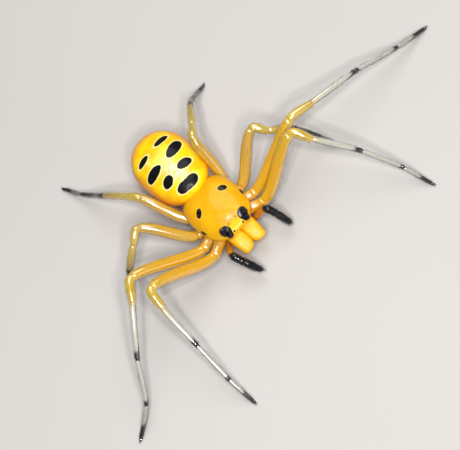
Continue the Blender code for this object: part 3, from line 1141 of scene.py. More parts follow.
@dataclass
class Jaws:
    """Two stout lobes under the front edge, with a small folded fang each.

    Attributes:
        root: Where the left lobe's middle line starts.
        tip: Where it ends.
        radius: Half the lobe's width.
        lobe: Shares of the radius at even steps.
        depth: Depth of the lobe as a share of its width.
        squareness: How full the corners of its section are.
        arch: How far the middle line rises above a straight one.
        rounding: Share of the length at which the blunt end starts to close.
        closing: What is left of the length there.
        end_power: How blunt that end is.
        end_size: Least radius there.
        notch: How far the inner front corner is cut back.
        notch_zone: Shares of the length over which the cut comes in.
        apart: Distance of each lobe from the middle plane.
        hairs: Shares of the length and the coat's density there.
        fang_line: Base, bend and end of the left fang.
        fang_radius: Radius of the fang at its base.
    """

    root: Triple = (0.84, -2.6, 2.35)
    tip: Triple = (0.74, -5.26, 1.74)
    radius: float = 0.84
    lobe: Sequence[float] = (0.95, 1.0, 1.02, 1.02, 1.0, 0.96, 0.92, 0.88)
    depth: float = 0.86
    squareness: float = 3.4
    arch: float = 0.12
    rounding: float = 0.55
    closing: float = 0.45
    end_power: float = 6.0
    end_size: float = 0.02
    notch: float = 0.5
    notch_zone: Span = (0.72, 1.0)
    apart: float = 0.015
    hairs: Sequence[Sequence[float]] = ((0.0, 0.5, 1.0), (0.2, 0.8, 2.0))
    fang_line: tuple[Triple, ...] = ((0.66, -4.78, 1.3), (0.45, -4.9, 0.98), (0.12, -4.45, 1.08))
    fang_radius: float = 0.1

    def shells(self) -> list[Shell]:
        """The two lobes."""
        sweep = np.sin(np.linspace(0, math.pi / 2, 30))
        t = np.concatenate([np.linspace(0, self.rounding, 20)[:-1], self.rounding + self.closing * sweep])
        blunt = superellipse(np.clip((t - self.rounding) / self.closing, 0, 0.999), self.end_power)
        size = np.maximum(self.radius * profile(self.lobe, t) * blunt, self.end_size)
        made = []
        for side in SIDES:
            start, end = mirrored(self.root, side), mirrored(self.tip, side)
            line = start + (end - start) * t[:, None]
            line[:, 2] += self.arch * np.sin(math.pi * t)
            lobe = Limb(line, t, size, (), segments=40).shell(
                Finish.JAW, Coat.BODY, np.interp(t, *self.hairs), widths=(1.0, self.depth))
            lobe.rings = self._squared(lobe.rings, line, t, side)
            made.append(lobe)
        return made

    def _squared(self, rings: np.ndarray, line: np.ndarray, t: np.ndarray, side: str) -> np.ndarray:
        """Fills the lobe out towards a square section and cuts its inner front corner back.

        Args:
            rings: The round lobe's points by ring.
            line: Its middle line.
            t: Share of the length at each ring.
            side: left or right.

        Returns:
            The new rings.
        """
        off = rings - line[:, None]
        turn = even_turns(rings.shape[1])
        power, sign = self.squareness, side_sign(side)
        full = (np.abs(np.cos(turn)) ** power + np.abs(np.sin(turn)) ** power) ** (-1 / power)
        made = line[:, None] + off * full[:, None]
        inward = np.maximum(0.0, -sign * (made[..., 0] - line[:, None, 0])) / self.radius
        made[..., 1] += self.notch * inward**2 * eased(t, *self.notch_zone)[:, None]
        made[..., 0] = np.where(sign * made[..., 0] < self.apart, sign * self.apart, made[..., 0])
        return made

    def fang(self, side: str) -> Shell:
        """A curved, pointed fang."""
        return hook([mirrored(point, side) for point in self.fang_line], self.fang_radius,
                    tip=0.004, power=0.75, steps=18, segments=12)


@dataclass
class Palp:
    """A feeler beside the jaws: a clear yellow upper part and a black, bristly outer part."""

    side: str
    knee: Triple
    tip: Triple
    root: Triple = (2.05, -3.15, 1.6)
    radius: float = 0.36
    pull: float = 0.55
    hidden: float = 0.9
    hidden_steps: int = 6
    base_steps: int = 22
    tip_steps: int = 36
    closing: float = 0.25
    end_power: float = 2.6
    wrist_share: float = 0.42
    base_profile: Sequence[float] = (0.95, 0.97, 1.0, 1.0, 1.0, 1.0, 1.0)
    tip_profile: Sequence[float] = (1.08, 1.2, 1.12, 1.1, 1.12, 0.98, 0.86, 0.7)
    hairs: Sequence[Sequence[float]] = ((0.0, 0.9, 1.1, 1.5, 2.0), (0.05, 0.1, 0.3, 0.8, 2.2))
    hair_lengths: Sequence[Sequence[float]] = ((0.0, 1.0, 1.6, 2.0), (0.6, 0.8, 1.2, 1.3))

    def shell(self) -> Shell:
        """The palp's surface, from under the carapace to its rounded tip."""
        root, knee, tip = (mirrored(point, self.side) for point in (self.root, self.knee, self.tip))
        inner, outer = unit(knee - root), unit(tip - knee)
        turn = unit(inner + outer)
        near, far = float(np.linalg.norm(knee - root)), float(np.linalg.norm(tip - knee))
        lead = np.linspace(root - inner * self.hidden, root, self.hidden_steps + 1)[:-1]
        first = hermite(root, knee, inner * near * self.pull, turn * near * self.pull, self.base_steps)
        second = hermite(knee, tip, turn * far * self.pull, outer * far * self.pull, self.tip_steps)
        line = np.concatenate([lead, first, second[1:]])
        along = np.concatenate([np.full(self.hidden_steps, 0.0), np.linspace(0, 1, self.base_steps + 1),
                                1 + np.linspace(0, 1, self.tip_steps + 1)[1:]])
        size = np.where(along <= 1.0, profile(self.base_profile, along),
                        profile(self.tip_profile, along - 1))
        end = np.clip((along - (2 - self.closing)) / self.closing, 0, 0.995)
        size = blended(size * self.radius * superellipse(end, self.end_power), 1, 1)
        reach = near + self.hidden
        limb = Limb(line, along, size, (reach, reach + self.wrist_share * far), segments=24,
                    waist=0.22, waist_reach=0.09)
        hairs, length = (np.interp(along, *rows) for rows in (self.hairs, self.hair_lengths))
        return limb.shell(Finish.PALP, Coat.PALPS, hairs, length)


class Wire:
    """A number that runs through a shader. Arithmetic on it adds Math nodes."""

    def __init__(self, maker: MaterialMaker, socket: bpy.types.NodeSocket) -> None:
        """Wraps an output socket.

        Args:
            maker: Where further nodes are added.
            socket: The output that gives the number.
        """
        self.maker = maker
        self.socket = socket

    def _math(self, operation: str, *values: Wire | float) -> Wire:
        """One Math node on the given values."""
        node = self.maker.node("ShaderNodeMath", {"operation": operation}, dict(enumerate(values)))
        return Wire(self.maker, node.outputs[0])

    def __add__(self, other: Wire | float) -> Wire:
        """Sum."""
        return self._math("ADD", self, other)

    def __sub__(self, other: Wire | float) -> Wire:
        """Difference."""
        return self._math("SUBTRACT", self, other)

    def __mul__(self, other: Wire | float) -> Wire:
        """Product."""
        return self._math("MULTIPLY", self, other)

    def __truediv__(self, other: Wire | float) -> Wire:
        """Quotient."""
        return self._math("DIVIDE", self, other)

    def __rsub__(self, other: float) -> Wire:
        """A number less this one."""
        return self._math("SUBTRACT", other, self)

    __radd__ = __add__
    __rmul__ = __mul__

    def least(self, other: Wire | float) -> Wire:
        """The smaller of the two."""
        return self._math("MINIMUM", self, other)

    def most(self, other: Wire | float) -> Wire:
        """The larger of the two."""
        return self._math("MAXIMUM", self, other)

    def size(self) -> Wire:
        """The number without its sign."""
        return self._math("ABSOLUTE", self)

    def rise(self, low: float, high: float) -> Wire:
        """A smooth step from 0 at low to 1 at high, either way round."""
        node = self.maker.node("ShaderNodeMapRange", {"interpolation_type": "SMOOTHSTEP"},
                               {"Value": self, "From Min": low, "From Max": high})
        return Wire(self.maker, node.outputs["Result"])


@dataclass(frozen=True)
class Gloss:
    """How a surface takes light: its clear coat, the light that goes into it and its own shine."""

    coat: float = 0.0
    coat_roughness: float = 0.1
    coat_index: float = 1.5
    glow: float = 0.0
    glow_colour: Colour = (1.0, 0.5, 0.1)
    glow_reach: float = 0.3
    specular: float = 0.5


def srgb(red: float, green: float, blue: float) -> Colour:
    """A colour given in the 0 to 255 of a screen, as the linear values that shaders take."""
    def linear(value: float) -> float:
        """One channel."""
        share = value / 255
        return share / 12.92 if share <= 0.04045 else ((share + 0.055) / 1.055) ** 2.4
    return linear(red), linear(green), linear(blue)


class Graph:
    """A node tree that is built node by node."""

    def __init__(self, tree: bpy.types.NodeTree) -> None:
        """Wraps a tree."""
        self.tree = tree

    def node(self, kind: str, settings: dict[str, Any] | None = None,
             inputs: dict[str | int, Any] | None = None) -> bpy.types.Node:
        """Adds a node.

        Args:
            kind: The node's type.
            settings: Its own properties, or a ramp's stops under "stops".
            inputs: Values or links of its sockets.

        Returns:
            The node.
        """
        made = self.tree.nodes.new(kind)
        for key, value in (settings or {}).items():
            if key == "stops":
                self._stops(made.color_ramp, value)
            else:
                setattr(made, key, value)
        self.feed(made, inputs or {})
        return made

    def feed(self, node: bpy.types.Node, inputs: dict[str | int, Any]) -> None:
        """Sets or links sockets of a node."""
        for key, value in inputs.items():
            socket = node.inputs[key]
            if isinstance(value, Wire):
                value = value.socket
            if isinstance(value, bpy.types.NodeSocket):
                self.tree.links.new(value, socket)
            elif socket.type == "RGBA" and len(value) == 3:
                socket.default_value = (*value, 1.0)
            else:
                socket.default_value = value

    @staticmethod
    def _stops(ramp: bpy.types.ColorRamp, stops: Sequence[tuple[float, Colour]]) -> None:
        """Gives a ramp its stops."""
        while len(ramp.elements) < len(stops):
            ramp.elements.new(1.0)
        for element, (place, colour) in zip(ramp.elements, stops):
            element.position = place
            element.color = (*colour, 1.0)


class MaterialMaker(Graph):
    """Builds one node material on the body's own millimetres."""

    def __init__(self, name: str, home: Home) -> None:
        """Starts a material with its shader and coordinates.

        Args:
            name: Name of the material.
            home: Where the body stands.
        """
        self.material = bpy.data.materials.new(name)
        self.material.use_nodes = True
        super().__init__(self.material.node_tree)
        self.tree.nodes.clear()
        self.shader = self.node("ShaderNodeBsdfPrincipled")
        output = self.node("ShaderNodeOutputMaterial")
        self.tree.links.new(self.shader.outputs["BSDF"], output.inputs["Surface"])
        texture = self.node("ShaderNodeTexCoord")
        shift = [-value / MM for value in home.origin]
        place = self.node("ShaderNodeMapping", {"vector_type": "POINT"}, {
            "Vector": texture.outputs["Object"], "Location": shift, "Scale": [1 / MM] * 3})
        self.place = place.outputs["Vector"]
        parts = self.node("ShaderNodeSeparateXYZ", {}, {"Vector": self.place})
        self.x, self.y, self.z = (Wire(self, parts.outputs[axis]) for axis in "XYZ")

    def attribute(self, name: str) -> Wire:
        """A number stored on the mesh."""
        node = self.node("ShaderNodeAttribute", {"attribute_name": name, "attribute_type": "GEOMETRY"})
        return Wire(self, node.outputs["Fac"])

    def noise(self, scale: float, detail: float = 3.0, roughness: float = 0.5) -> Wire:
        """Soft noise from 0 to 1, with scale in waves to a millimetre."""
        node = self.node("ShaderNodeTexNoise", {}, {
            "Vector": self.place, "Scale": scale, "Detail": detail, "Roughness": roughness})
        return Wire(self, node.outputs["Fac"])

    def mix(self, share: Wire | float, first: Any, second: Any) -> bpy.types.NodeSocket:
        """The first colour with a share of the second."""
        node = self.node("ShaderNodeMix", {"data_type": "RGBA", "clamp_factor": True},
                         {0: share, 6: first, 7: second})
        return node.outputs[2]

    def scaled(self, colour: Any, amount: Wire | float) -> bpy.types.NodeSocket:
        """A colour made lighter or darker by an amount."""
        node = self.node("ShaderNodeVectorMath", {"operation": "SCALE"}, {0: colour, "Scale": amount})
        return node.outputs[0]

    def ramp(self, value: Wire, stops: Sequence[tuple[float, Colour]]) -> bpy.types.NodeSocket:
        """A colour read off a row of stops."""
        node = self.node("ShaderNodeValToRGB", {"stops": stops}, {"Fac": value})
        return node.outputs["Color"]

    def spot(self, centre: Sequence[float], axes: Matrix, half: Sequence[float]) -> Wire:
        """Distance from a marking's middle, 1 at its edge.

        Args:
            centre: Middle of the marking, on the surface.
            axes: Long axis, short axis and normal as columns.
            half: Half its size along each of them.

        Returns:
            The distance as a wire.
        """
        local = self.node("ShaderNodeMapping", {"vector_type": "TEXTURE"}, {
            "Vector": self.place, "Location": list(centre), "Rotation": list(axes.to_euler()),
            "Scale": list(half)})
        node = self.node("ShaderNodeVectorMath", {"operation": "LENGTH"}, {0: local.outputs[0]})
        return Wire(self, node.outputs["Value"])

    def surface(self, colour: Any, roughness: Wire | float, gloss: Gloss = Gloss()) -> None:
        """Sets the shader.

        Args:
            colour: Its base colour.
            roughness: Its roughness.
            gloss: Everything else about how it takes light.
        """
        self.feed(self.shader, {
            "Base Color": colour, "Roughness": roughness, "Coat Weight": gloss.coat,
            "Coat IOR": gloss.coat_index, "Coat Roughness": gloss.coat_roughness,
            "Specular IOR Level": gloss.specular, "Subsurface Weight": gloss.glow,
            "Subsurface Radius": gloss.glow_colour, "Subsurface Scale": gloss.glow_reach * MM})

    def coat(self, colour: Any, shade: float, roughness: float) -> bpy.types.Material:
        """Ends the material of a coat, in a darker shade of the skin's colours."""
        self.surface(self.scaled(colour, shade), roughness)
        return self.material

    @staticmethod
    def nearest(places: Sequence[Wire]) -> Wire:
        """The least of several distances."""
        return functools.reduce(Wire.least, places)

    def relief(self, height: Wire, depth: float, strength: float = 1.0) -> None:
        """Bumps the surface by a height, where depth is millimetres for a height of one."""
        node = self.node("ShaderNodeBump", {}, {
            "Height": height, "Distance": depth * MM, "Strength": strength})
        self.feed(self.shader, {"Normal": node.outputs["Normal"]})


@dataclass(frozen=True)
class Spot:
    """A dark marking on the abdomen, in plan, with half sizes on the surface."""

    x: float
    y: float
    long: float
    short: float
    angle: float = 0.0


@dataclass(frozen=True)
class SoftPatch:
    """A soft patch of colour on the back, in plan, broken up by the grain; one of the two is a painted
    highlight.
    """

    colour: Colour
    share: float
    middle: float
    half: Span
    front: Span
    rear: Span
    grain: Span

    def shown(self, m: MaterialMaker, fine: Wire) -> Wire:
        """How much of it shows at a place."""
        across = (m.x - self.middle).size().rise(*self.half)
        return across * m.y.rise(*self.front) * m.y.rise(*self.rear) * fine.rise(*self.grain) * self.share


@dataclass(frozen=True)
class AbdomenFinish:
    """Bright yellow with large black spots, pale halos, an orange rim and a painted highlight along the
    middle.
    """

    yellow: Colour = srgb(255, 212, 16)
    gold: Colour = srgb(252, 188, 14)
    orange: Colour = srgb(236, 136, 4)
    cream: Colour = srgb(255, 244, 178)
    black: Colour = (0.004, 0.004, 0.004)
    spots: tuple[Spot, ...] = (
        Spot(0.32, 3.86, 0.84, 0.57, 6.0), Spot(-0.64, 3.93, 0.84, 0.55, -3.0),
        Spot(-0.16, 3.88, 0.95, 0.56), Spot(1.19, 5.22, 0.89, 0.5, -6.0),
        Spot(-1.36, 5.14, 0.76, 0.52, 15.4), Spot(1.62, 6.91, 1.24, 0.58, 15.9),
        Spot(-1.77, 6.62, 1.2, 0.52, 0.4), Spot(1.35, 8.56, 0.92, 0.33, 7.7),
        Spot(-1.52, 8.38, 0.83, 0.32, -2.0),
    )
    spot_depth: float = 0.9
    spot_edge: Span = (0.05, -0.03)
    ragged: float = 0.16
    halo: Span = (0.24, 0.03)
    halo_share: float = 0.75
    gold_clouds: Span = (0.42, 0.62)
    ragged_height: float = 0.5
    flank: Span = (4.9, 3.7)
    flank_share: float = 0.9
    rear: Span = (9.4, 10.8)
    rear_share: float = 0.7
    pale_patch_and_painted_highlight: tuple[SoftPatch, ...] = (
        # First a painted highlight, pinkish white, along the middle of the back; then a pale cream patch
        # on the right side.
        SoftPatch(srgb(255, 238, 214), 0.9, 0.0, (1.3, 0.1), (3.2, 4.4), (8.4, 4.6), (0.3, 0.6)),
        SoftPatch(srgb(255, 244, 178), 0.6, -1.1, (0.7, 0.2), (5.4, 6.4), (8.6, 7.4), (0.4, 0.6)),
    )
    setae_shade: float = 0.55
    setae_roughness: float = 0.4
    roughness: float = 0.3
    rough_grain: float = 0.12
    gloss: Gloss = Gloss(coat=0.12, coat_roughness=0.05, glow=0.1, glow_colour=(1.0, 0.7, 0.15),
                         glow_reach=0.35, specular=0.14)

    def material(self, home: Home, abdomen: Abdomen, coat: bool = False) -> bpy.types.Material:
        """Builds the finish.

        Args:
            home: Where the body stands.
            abdomen: The form that the spots lie on.
            coat: Whether it is for setae and not for the skin.

        Returns:
            The material.
        """
        m = MaterialMaker("abdomen_setae" if coat else Finish.ABDOMEN.value, home)
        cloud, fine = m.noise(0.55, 2.0, 0.55), m.noise(2.6, 4.0, 0.6)
        colour = m.mix(cloud.rise(*self.gold_clouds), self.yellow, self.gold)
        high = m.z + (fine - 0.5) * self.ragged_height
        colour = m.mix(high.rise(*self.flank) * self.flank_share, colour, self.orange)
        colour = m.mix(m.y.rise(*self.rear) * self.rear_share, colour, self.orange)
        # Soft patches: a painted highlight down the middle and a cream patch on the right.
        for soft_patch in self.pale_patch_and_painted_highlight:
            colour = m.mix(soft_patch.shown(m, fine), colour, soft_patch.colour)
        edge = self._edge(m, abdomen)
        colour = m.mix(edge.rise(*self.halo) * self.halo_share, colour, self.cream)
        colour = m.mix(edge.rise(*self.spot_edge), colour, self.black)
        if coat:
            return m.coat(colour, self.setae_shade, self.setae_roughness)
        m.surface(colour, fine * self.rough_grain + self.roughness, self.gloss)
        m.relief(m.noise(7.0, 3.0, 0.6) * 0.6 + m.noise(26.0, 2.0) * 0.4, 0.02, 0.35)
        return m.material

    def _edge(self, m: MaterialMaker, abdomen: Abdomen) -> Wire:
        """Millimetres from the ragged edge of the nearest spot, below nought inside it."""
        reaches = []
        for spot in self.spots:
            axes = abdomen.frame_at(spot.x, spot.y, spot.angle)
            far = m.spot(abdomen.point(spot.x, spot.y), axes, (spot.long, spot.short, self.spot_depth))
            reaches.append((far - 1.0) * ((spot.long + spot.short) / 2))
        return m.nearest(reaches) + (m.noise(2.2, 3.0) - 0.5) * self.ragged


@dataclass(frozen=True)
class CarapaceFinish:
    """Glossy orange yellow with two black spots, dark slits at the sides and black eye mounds."""

    orange: Colour = srgb(222, 158, 0)
    honey: Colour = srgb(226, 170, 10)
    bright: Colour = srgb(255, 205, 22)
    cream: Colour = srgb(250, 222, 120)
    slit: Colour = srgb(92, 34, 8)
    black: Colour = (0.006, 0.005, 0.004)
    honey_clouds: Span = (0.35, 0.65)
    face: Span = (-2.4, -3.2)
    face_half: Span = (1.4, 0.9)
    face_share: float = 0.8
    ridge: float = -3.38
    ridge_reach: Span = (0.13, 0.04)
    ridge_half: Span = (1.2, 0.8)
    ridge_share: float = 0.75
    rear_spots: tuple[Spot, ...] = (
        Spot(-1.68, 0.28, 0.52, 0.31, 38.8), Spot(1.8, 0.32, 0.5, 0.34, -26.0))
    spot_depth: float = 0.8
    spot_edge: Span = (0.03, -0.03)
    ragged: float = 0.05
    halo: Span = (0.12, 0.03)
    halo_share: float = 0.3
    slit_centre: Triple = (2.78, -1.12, 3.86)
    slit_half: Triple = (0.5, 0.36, 0.17)
    slit_rim: Span = (1.3, 0.9)
    slit_rim_share: float = 0.6
    slit_edge: Span = (1.0, 0.7)
    mounds: tuple[Triple, ...] = ((1.17, -3.14, 0.46), (1.27, -2.99, 0.6), (1.38, -2.84, 0.47))
    mound_lift: float = 0.15
    mound_ragged: float = 0.03
    roughness: float = 0.42
    rough_grain: float = 0.1
    gloss: Gloss = Gloss(coat=0.32, coat_roughness=0.025, glow=0.1, glow_colour=(1.0, 0.7, 0.1),
                         glow_reach=0.35, specular=0.12)

    def material(self, home: Home, carapace: Carapace) -> bpy.types.Material:
        """Builds the finish.

        Args:
            home: Where the body stands.
            carapace: The form that the markings lie on.

        Returns:
            The material.
        """
        m = MaterialMaker(Finish.CARAPACE.value, home)
        fine = m.noise(3.0, 4.0, 0.6)
        colour = m.mix(m.noise(0.6, 2.0).rise(*self.honey_clouds), self.orange, self.honey)
        face = m.y.rise(*self.face) * m.x.size().rise(*self.face_half)
        colour = m.mix(face * self.face_share, colour, self.bright)
        ridge = (m.y - self.ridge).size().rise(*self.ridge_reach) * m.x.size().rise(*self.ridge_half)
        colour = m.mix(ridge * self.ridge_share, colour, self.cream)
        edge = self._spots(m, carapace) + (fine - 0.5) * self.ragged
        colour = m.mix(edge.rise(*self.halo) * self.halo_share, colour, self.cream)
        colour = m.mix(edge.rise(*self.spot_edge), colour, self.black)
        for side in SIDES:
            slit = m.spot(mirrored(self.slit_centre, side), Matrix.Identity(3), self.slit_half)
            colour = m.mix(slit.rise(*self.slit_rim) * self.slit_rim_share, colour, self.slit)
            colour = m.mix(slit.rise(*self.slit_edge), colour, self.black)
        mound = self._mounds(m, carapace) + (fine - 0.5) * self.mound_ragged
        colour = m.mix(mound.rise(*self.spot_edge), colour, self.black)
        m.surface(colour, fine * self.rough_grain + self.roughness, self.gloss)
        m.relief(m.noise(9.0, 3.0, 0.6) * 0.6 + m.noise(30.0, 2.0) * 0.4, 0.015, 0.3)
        return m.material

    def _spots(self, m: MaterialMaker, carapace: Carapace) -> Wire:
        """Millimetres from the edge of the nearest oval spot, below nought inside it."""
        reaches = []
        for spot in self.rear_spots:
            centre = vec(spot.x, spot.y, float(carapace.height(spot.x, spot.y)))
            axes = surface_frame(carapace.normal(spot.x, spot.y), spot.angle)
            far = m.spot(centre, axes, (spot.long, spot.short, self.spot_depth))
            reaches.append((far - 1.0) * spot.short)
        return m.nearest(reaches)

    def _mounds(self, m: MaterialMaker, carapace: Carapace) -> Wire:
        """Millimetres from the edge of the black around the side eyes."""
        reaches = []
        for side in SIDES:
            for x, y, radius in self.mounds:
                centre = mirrored((x, y, float(carapace.height(x, y)) + self.mound_lift), side)
                reaches.append(m.spot(centre, Matrix.Identity(3), (1.0, 1.0, 1.0)) - radius)
        return m.nearest(reaches)


@dataclass(frozen=True)
class LegFinish:
    """Yellow upper lengths, then pale grey or olive ones with black ends.

    Spans are read along the leg, in numbers of lengths, or around it, from 1 on top to -1 below.
    """

    front: bool
    black: Colour = (0.008, 0.008, 0.008)
    # Painted shade: brown under the yellow lengths, and olive with a painted dark reflection on their
    # lower flanks.
    brown: Colour = srgb(120, 62, 14)
    olive: Colour = srgb(158, 112, 8)
    soot: Colour = srgb(66, 58, 46)
    whole: float = 6.2
    ragged: float = 0.03
    front_pale: Span = (3.0, 3.12)
    hind_pale: Span = (3.9, 4.1)
    # Painted shade and dark reflection on the lower flanks of the yellow lengths.
    painted_shade_sides: Span = (0.55, -0.25)
    painted_shade_share: float = 0.6
    soot_sides: Span = (0.62, 0.0)
    soot_share: float = 0.9
    # Painted shade below the yellow lengths.
    painted_underside_shade: Span = (-0.2, -0.9)
    painted_underside_share: float = 0.6
    flank: Span = (0.8, 0.25)
    flank_shift: float = 0.14
    tibia_end: tuple[Span, Span] = ((3.8, 3.9), (4.05, 4.0))
    metatarsus_end: tuple[Span, Span] = ((4.87, 4.94), (5.06, 5.0))
    metatarsus_slant: float = 0.7
    toe: Span = (5.5, 5.66)
    hind_metatarsus: tuple[Span, Span] = ((4.2, 4.5), (5.0, 4.9))
    setae_shade: float = 0.35
    setae_roughness: float = 0.4
    roughness: float = 0.3
    rough_grain: float = 0.12
    upper_smooth: float = -0.08
    upper_end: Span = (3.1, 2.9)
    gloss: Gloss = Gloss(coat=1.0, coat_roughness=0.11, coat_index=2.3, glow=0.1,
                         glow_colour=(1.0, 0.8, 0.3), glow_reach=0.25, specular=0.3)

    def bands(self) -> Sequence[tuple[float, Colour]]:
        """Colours by length: 0 coxa, 1 femur, 2 patella, 3 tibia, 4 metatarsus, 5 tarsus."""
        if self.front:
            return (
                (0.0, srgb(206, 146, 4)), (0.9, srgb(212, 154, 2)), (1.1, srgb(218, 162, 2)),
                (1.5, srgb(216, 158, 0)), (1.9, srgb(206, 158, 10)), (2.04, srgb(206, 172, 44)),
                (2.5, srgb(196, 162, 40)), (2.94, srgb(196, 162, 60)), (3.06, srgb(190, 180, 144)),
                (3.25, srgb(192, 188, 172)), (4.0, srgb(188, 186, 176)), (5.0, srgb(178, 174, 162)),
                (6.1, srgb(160, 156, 146)),
            )
        return (
            (0.0, srgb(206, 140, 10)), (0.9, srgb(206, 150, 22)), (1.2, srgb(202, 158, 48)),
            (1.6, srgb(198, 152, 44)), (1.95, srgb(192, 152, 50)), (2.05, srgb(186, 152, 54)),
            (2.6, srgb(192, 166, 66)), (3.1, srgb(188, 160, 70)), (3.7, srgb(172, 144, 74)),
            (4.1, srgb(110, 100, 84)), (5.1, srgb(112, 116, 116)), (6.1, srgb(86, 88, 88)),
        )

    def material(self, home: Home, coat: bool = False) -> bpy.types.Material:
        """Builds the finish.

        Args:
            home: Where the body stands.
            coat: Whether it is for setae and not for the skin.

        Returns:
            The material.
        """
        finish = Finish.FRONT_LEG if self.front else Finish.HIND_LEG
        m = MaterialMaker(finish.value.replace("cuticle", "setae") if coat else finish.value, home)
        along, upper = m.attribute("along"), m.attribute("upper")
        fine = m.noise(3.5, 4.0, 0.6)
        place = along + (fine - 0.5) * self.ragged
        colour = m.ramp(place / self.whole, [(stop / self.whole, tint) for stop, tint in self.bands()])
        pale = place.rise(*(self.front_pale if self.front else self.hind_pale))
        yellow = 1.0 - pale
        # Painted shade and dark reflection on the lower flanks of the yellow lengths.
        colour = m.mix(upper.rise(*self.painted_shade_sides) * yellow * self.painted_shade_share, colour, self.olive)
        colour = m.mix(upper.rise(*self.soot_sides) * pale * self.soot_share, colour, self.soot)
        # Painted shade under the yellow lengths.
        colour = m.mix(upper.rise(*self.painted_underside_shade) * yellow * self.painted_underside_share, colour, self.brown)
        colour = m.mix(self._dark(place, upper), colour, self.black)
        if coat:
            return m.coat(colour, self.setae_shade, self.setae_roughness)
        smooth = place.rise(*self.upper_end) * self.upper_smooth
        m.surface(colour, smooth + fine * self.rough_grain + self.roughness, self.gloss)
        m.relief(m.noise(12.0, 3.0, 0.6), 0.012, 0.4)
        return m.material

    def _dark(self, place: Wire, upper: Wire) -> Wire:
        """Where the black bands are. They reach further up the leg on its flanks.

        Args:
            place: Place along the leg, in numbers of lengths.
            upper: 1 on top and -1 below.

        Returns:
            1 in a band and 0 outside.
        """
        slant = upper.rise(*self.flank) * self.flank_shift
        start, end = self.tibia_end
        dark = (place + slant).rise(*start) * place.rise(*end)
        start, end = self.metatarsus_end
        dark = dark.most((place + slant * self.metatarsus_slant).rise(*start) * place.rise(*end))
        dark = dark.most((place + slant).rise(*self.toe))
        if not self.front:
            start, end = self.hind_metatarsus
            dark = dark.most(place.rise(*start) * place.rise(*end))
        return dark


@dataclass(frozen=True)
class PalpFinish:
    """Clear yellow brown at the base, glossy black beyond the knee."""

    base: Colour = srgb(214, 142, 40)
    brown: Colour = srgb(184, 108, 26)
    black: Colour = (0.008, 0.008, 0.009)
    knee: Span = (0.84, 0.96)
    ragged: float = 0.1
    setae_shade: float = 0.8
    setae_roughness: float = 0.35
    roughness: float = 0.2
    rough_grain: float = 0.14
    gloss: Gloss = Gloss(coat=0.6, coat_roughness=0.06, glow=0.06, glow_colour=(1.0, 0.5, 0.15),
                         glow_reach=0.25, specular=0.15)

    def material(self, home: Home, coat: bool = False) -> bpy.types.Material:
        """Builds the finish.

        Args:
            home: Where the body stands.
            coat: Whether it is for setae and not for the skin.

        Returns:
            The material.
        """
        m = MaterialMaker("palp_setae" if coat else Finish.PALP.value, home)
        fine = m.noise(4.0, 4.0, 0.6)
        place = m.attribute("along") + (fine - 0.5) * self.ragged
        colour = m.mix(place.rise(*self.knee), m.mix(fine, self.base, self.brown), self.black)
        if coat:
            return m.coat(colour, self.setae_shade, self.setae_roughness)
        m.surface(colour, fine * self.rough_grain + self.roughness, self.gloss)
        m.relief(m.noise(10.0, 4.0, 0.65), 0.03, 0.6)
        return m.material


@dataclass(frozen=True)
class PlainCuticle:
    """A cuticle without markings: two shades in soft clouds."""

    name: str
    first: Colour
    second: Colour
    roughness: float = 0.26
    rough_grain: float = 0.14
    clouds: Span = (0.3, 0.7)
    gloss: Gloss = Gloss(coat=0.3, coat_roughness=0.12, glow=0.1, glow_colour=(1.0, 0.8, 0.1))

    def material(self, home: Home) -> bpy.types.Material:
        """Builds the finish.

        Args:
            home: Where the body stands.

        Returns:
            The material.
        """
        m = MaterialMaker(self.name, home)
        colour = m.mix(m.noise(1.4, 3.0).rise(*self.clouds), self.first, self.second)
        m.surface(colour, m.noise(4.0, 4.0, 0.6) * self.rough_grain + self.roughness, self.gloss)
        m.relief(m.noise(9.0, 3.0, 0.6), 0.02, 0.4)
        return m.material


@dataclass(frozen=True)
class EyeFinish:
    """Glossy black with a faint violet sheen."""

    name: str = "eye_lens"
    black: Colour = (0.003, 0.003, 0.004)
    violet: Colour = (0.008, 0.005, 0.016)
    roughness: float = 0.04
    rough_grain: float = 0.06
    gloss: Gloss = Gloss(coat=0.35, coat_roughness=0.03, specular=0.12)

    @classmethod
    def pale(cls) -> EyeFinish:
        """The amber of the small rear middle eyes."""
        return cls("amber_lens", srgb(196, 118, 10), srgb(168, 92, 12))

    def material(self, home: Home) -> bpy.types.Material:
        """Builds the finish.

        Args:
            home: Where the body stands.

        Returns:
            The material.
        """
        m = MaterialMaker(self.name, home)
        colour = m.mix(m.noise(3.0, 2.0), self.black, self.violet)
        m.surface(colour, m.noise(6.0, 2.0) * self.rough_grain + self.roughness, self.gloss)
        return m.material


@dataclass(frozen=True)
class HornFinish:
    """Dark brown horn, for claws and fangs."""

    dark: Colour = (0.02, 0.008, 0.004)
    light: Colour = (0.12, 0.045, 0.012)
    roughness: float = 0.2
    rough_grain: float = 0.15
    gloss: Gloss = Gloss(coat=0.4)

    def material(self, home: Home) -> bpy.types.Material:
        """Builds the finish.

        Args:
            home: Where the body stands.

        Returns:
            The material.
        """
        m = MaterialMaker("horn", home)
        colour = m.mix(m.attribute("along"), self.light, self.dark)
        m.surface(colour, m.noise(8.0, 3.0) * self.rough_grain + self.roughness, self.gloss)
        return m.material


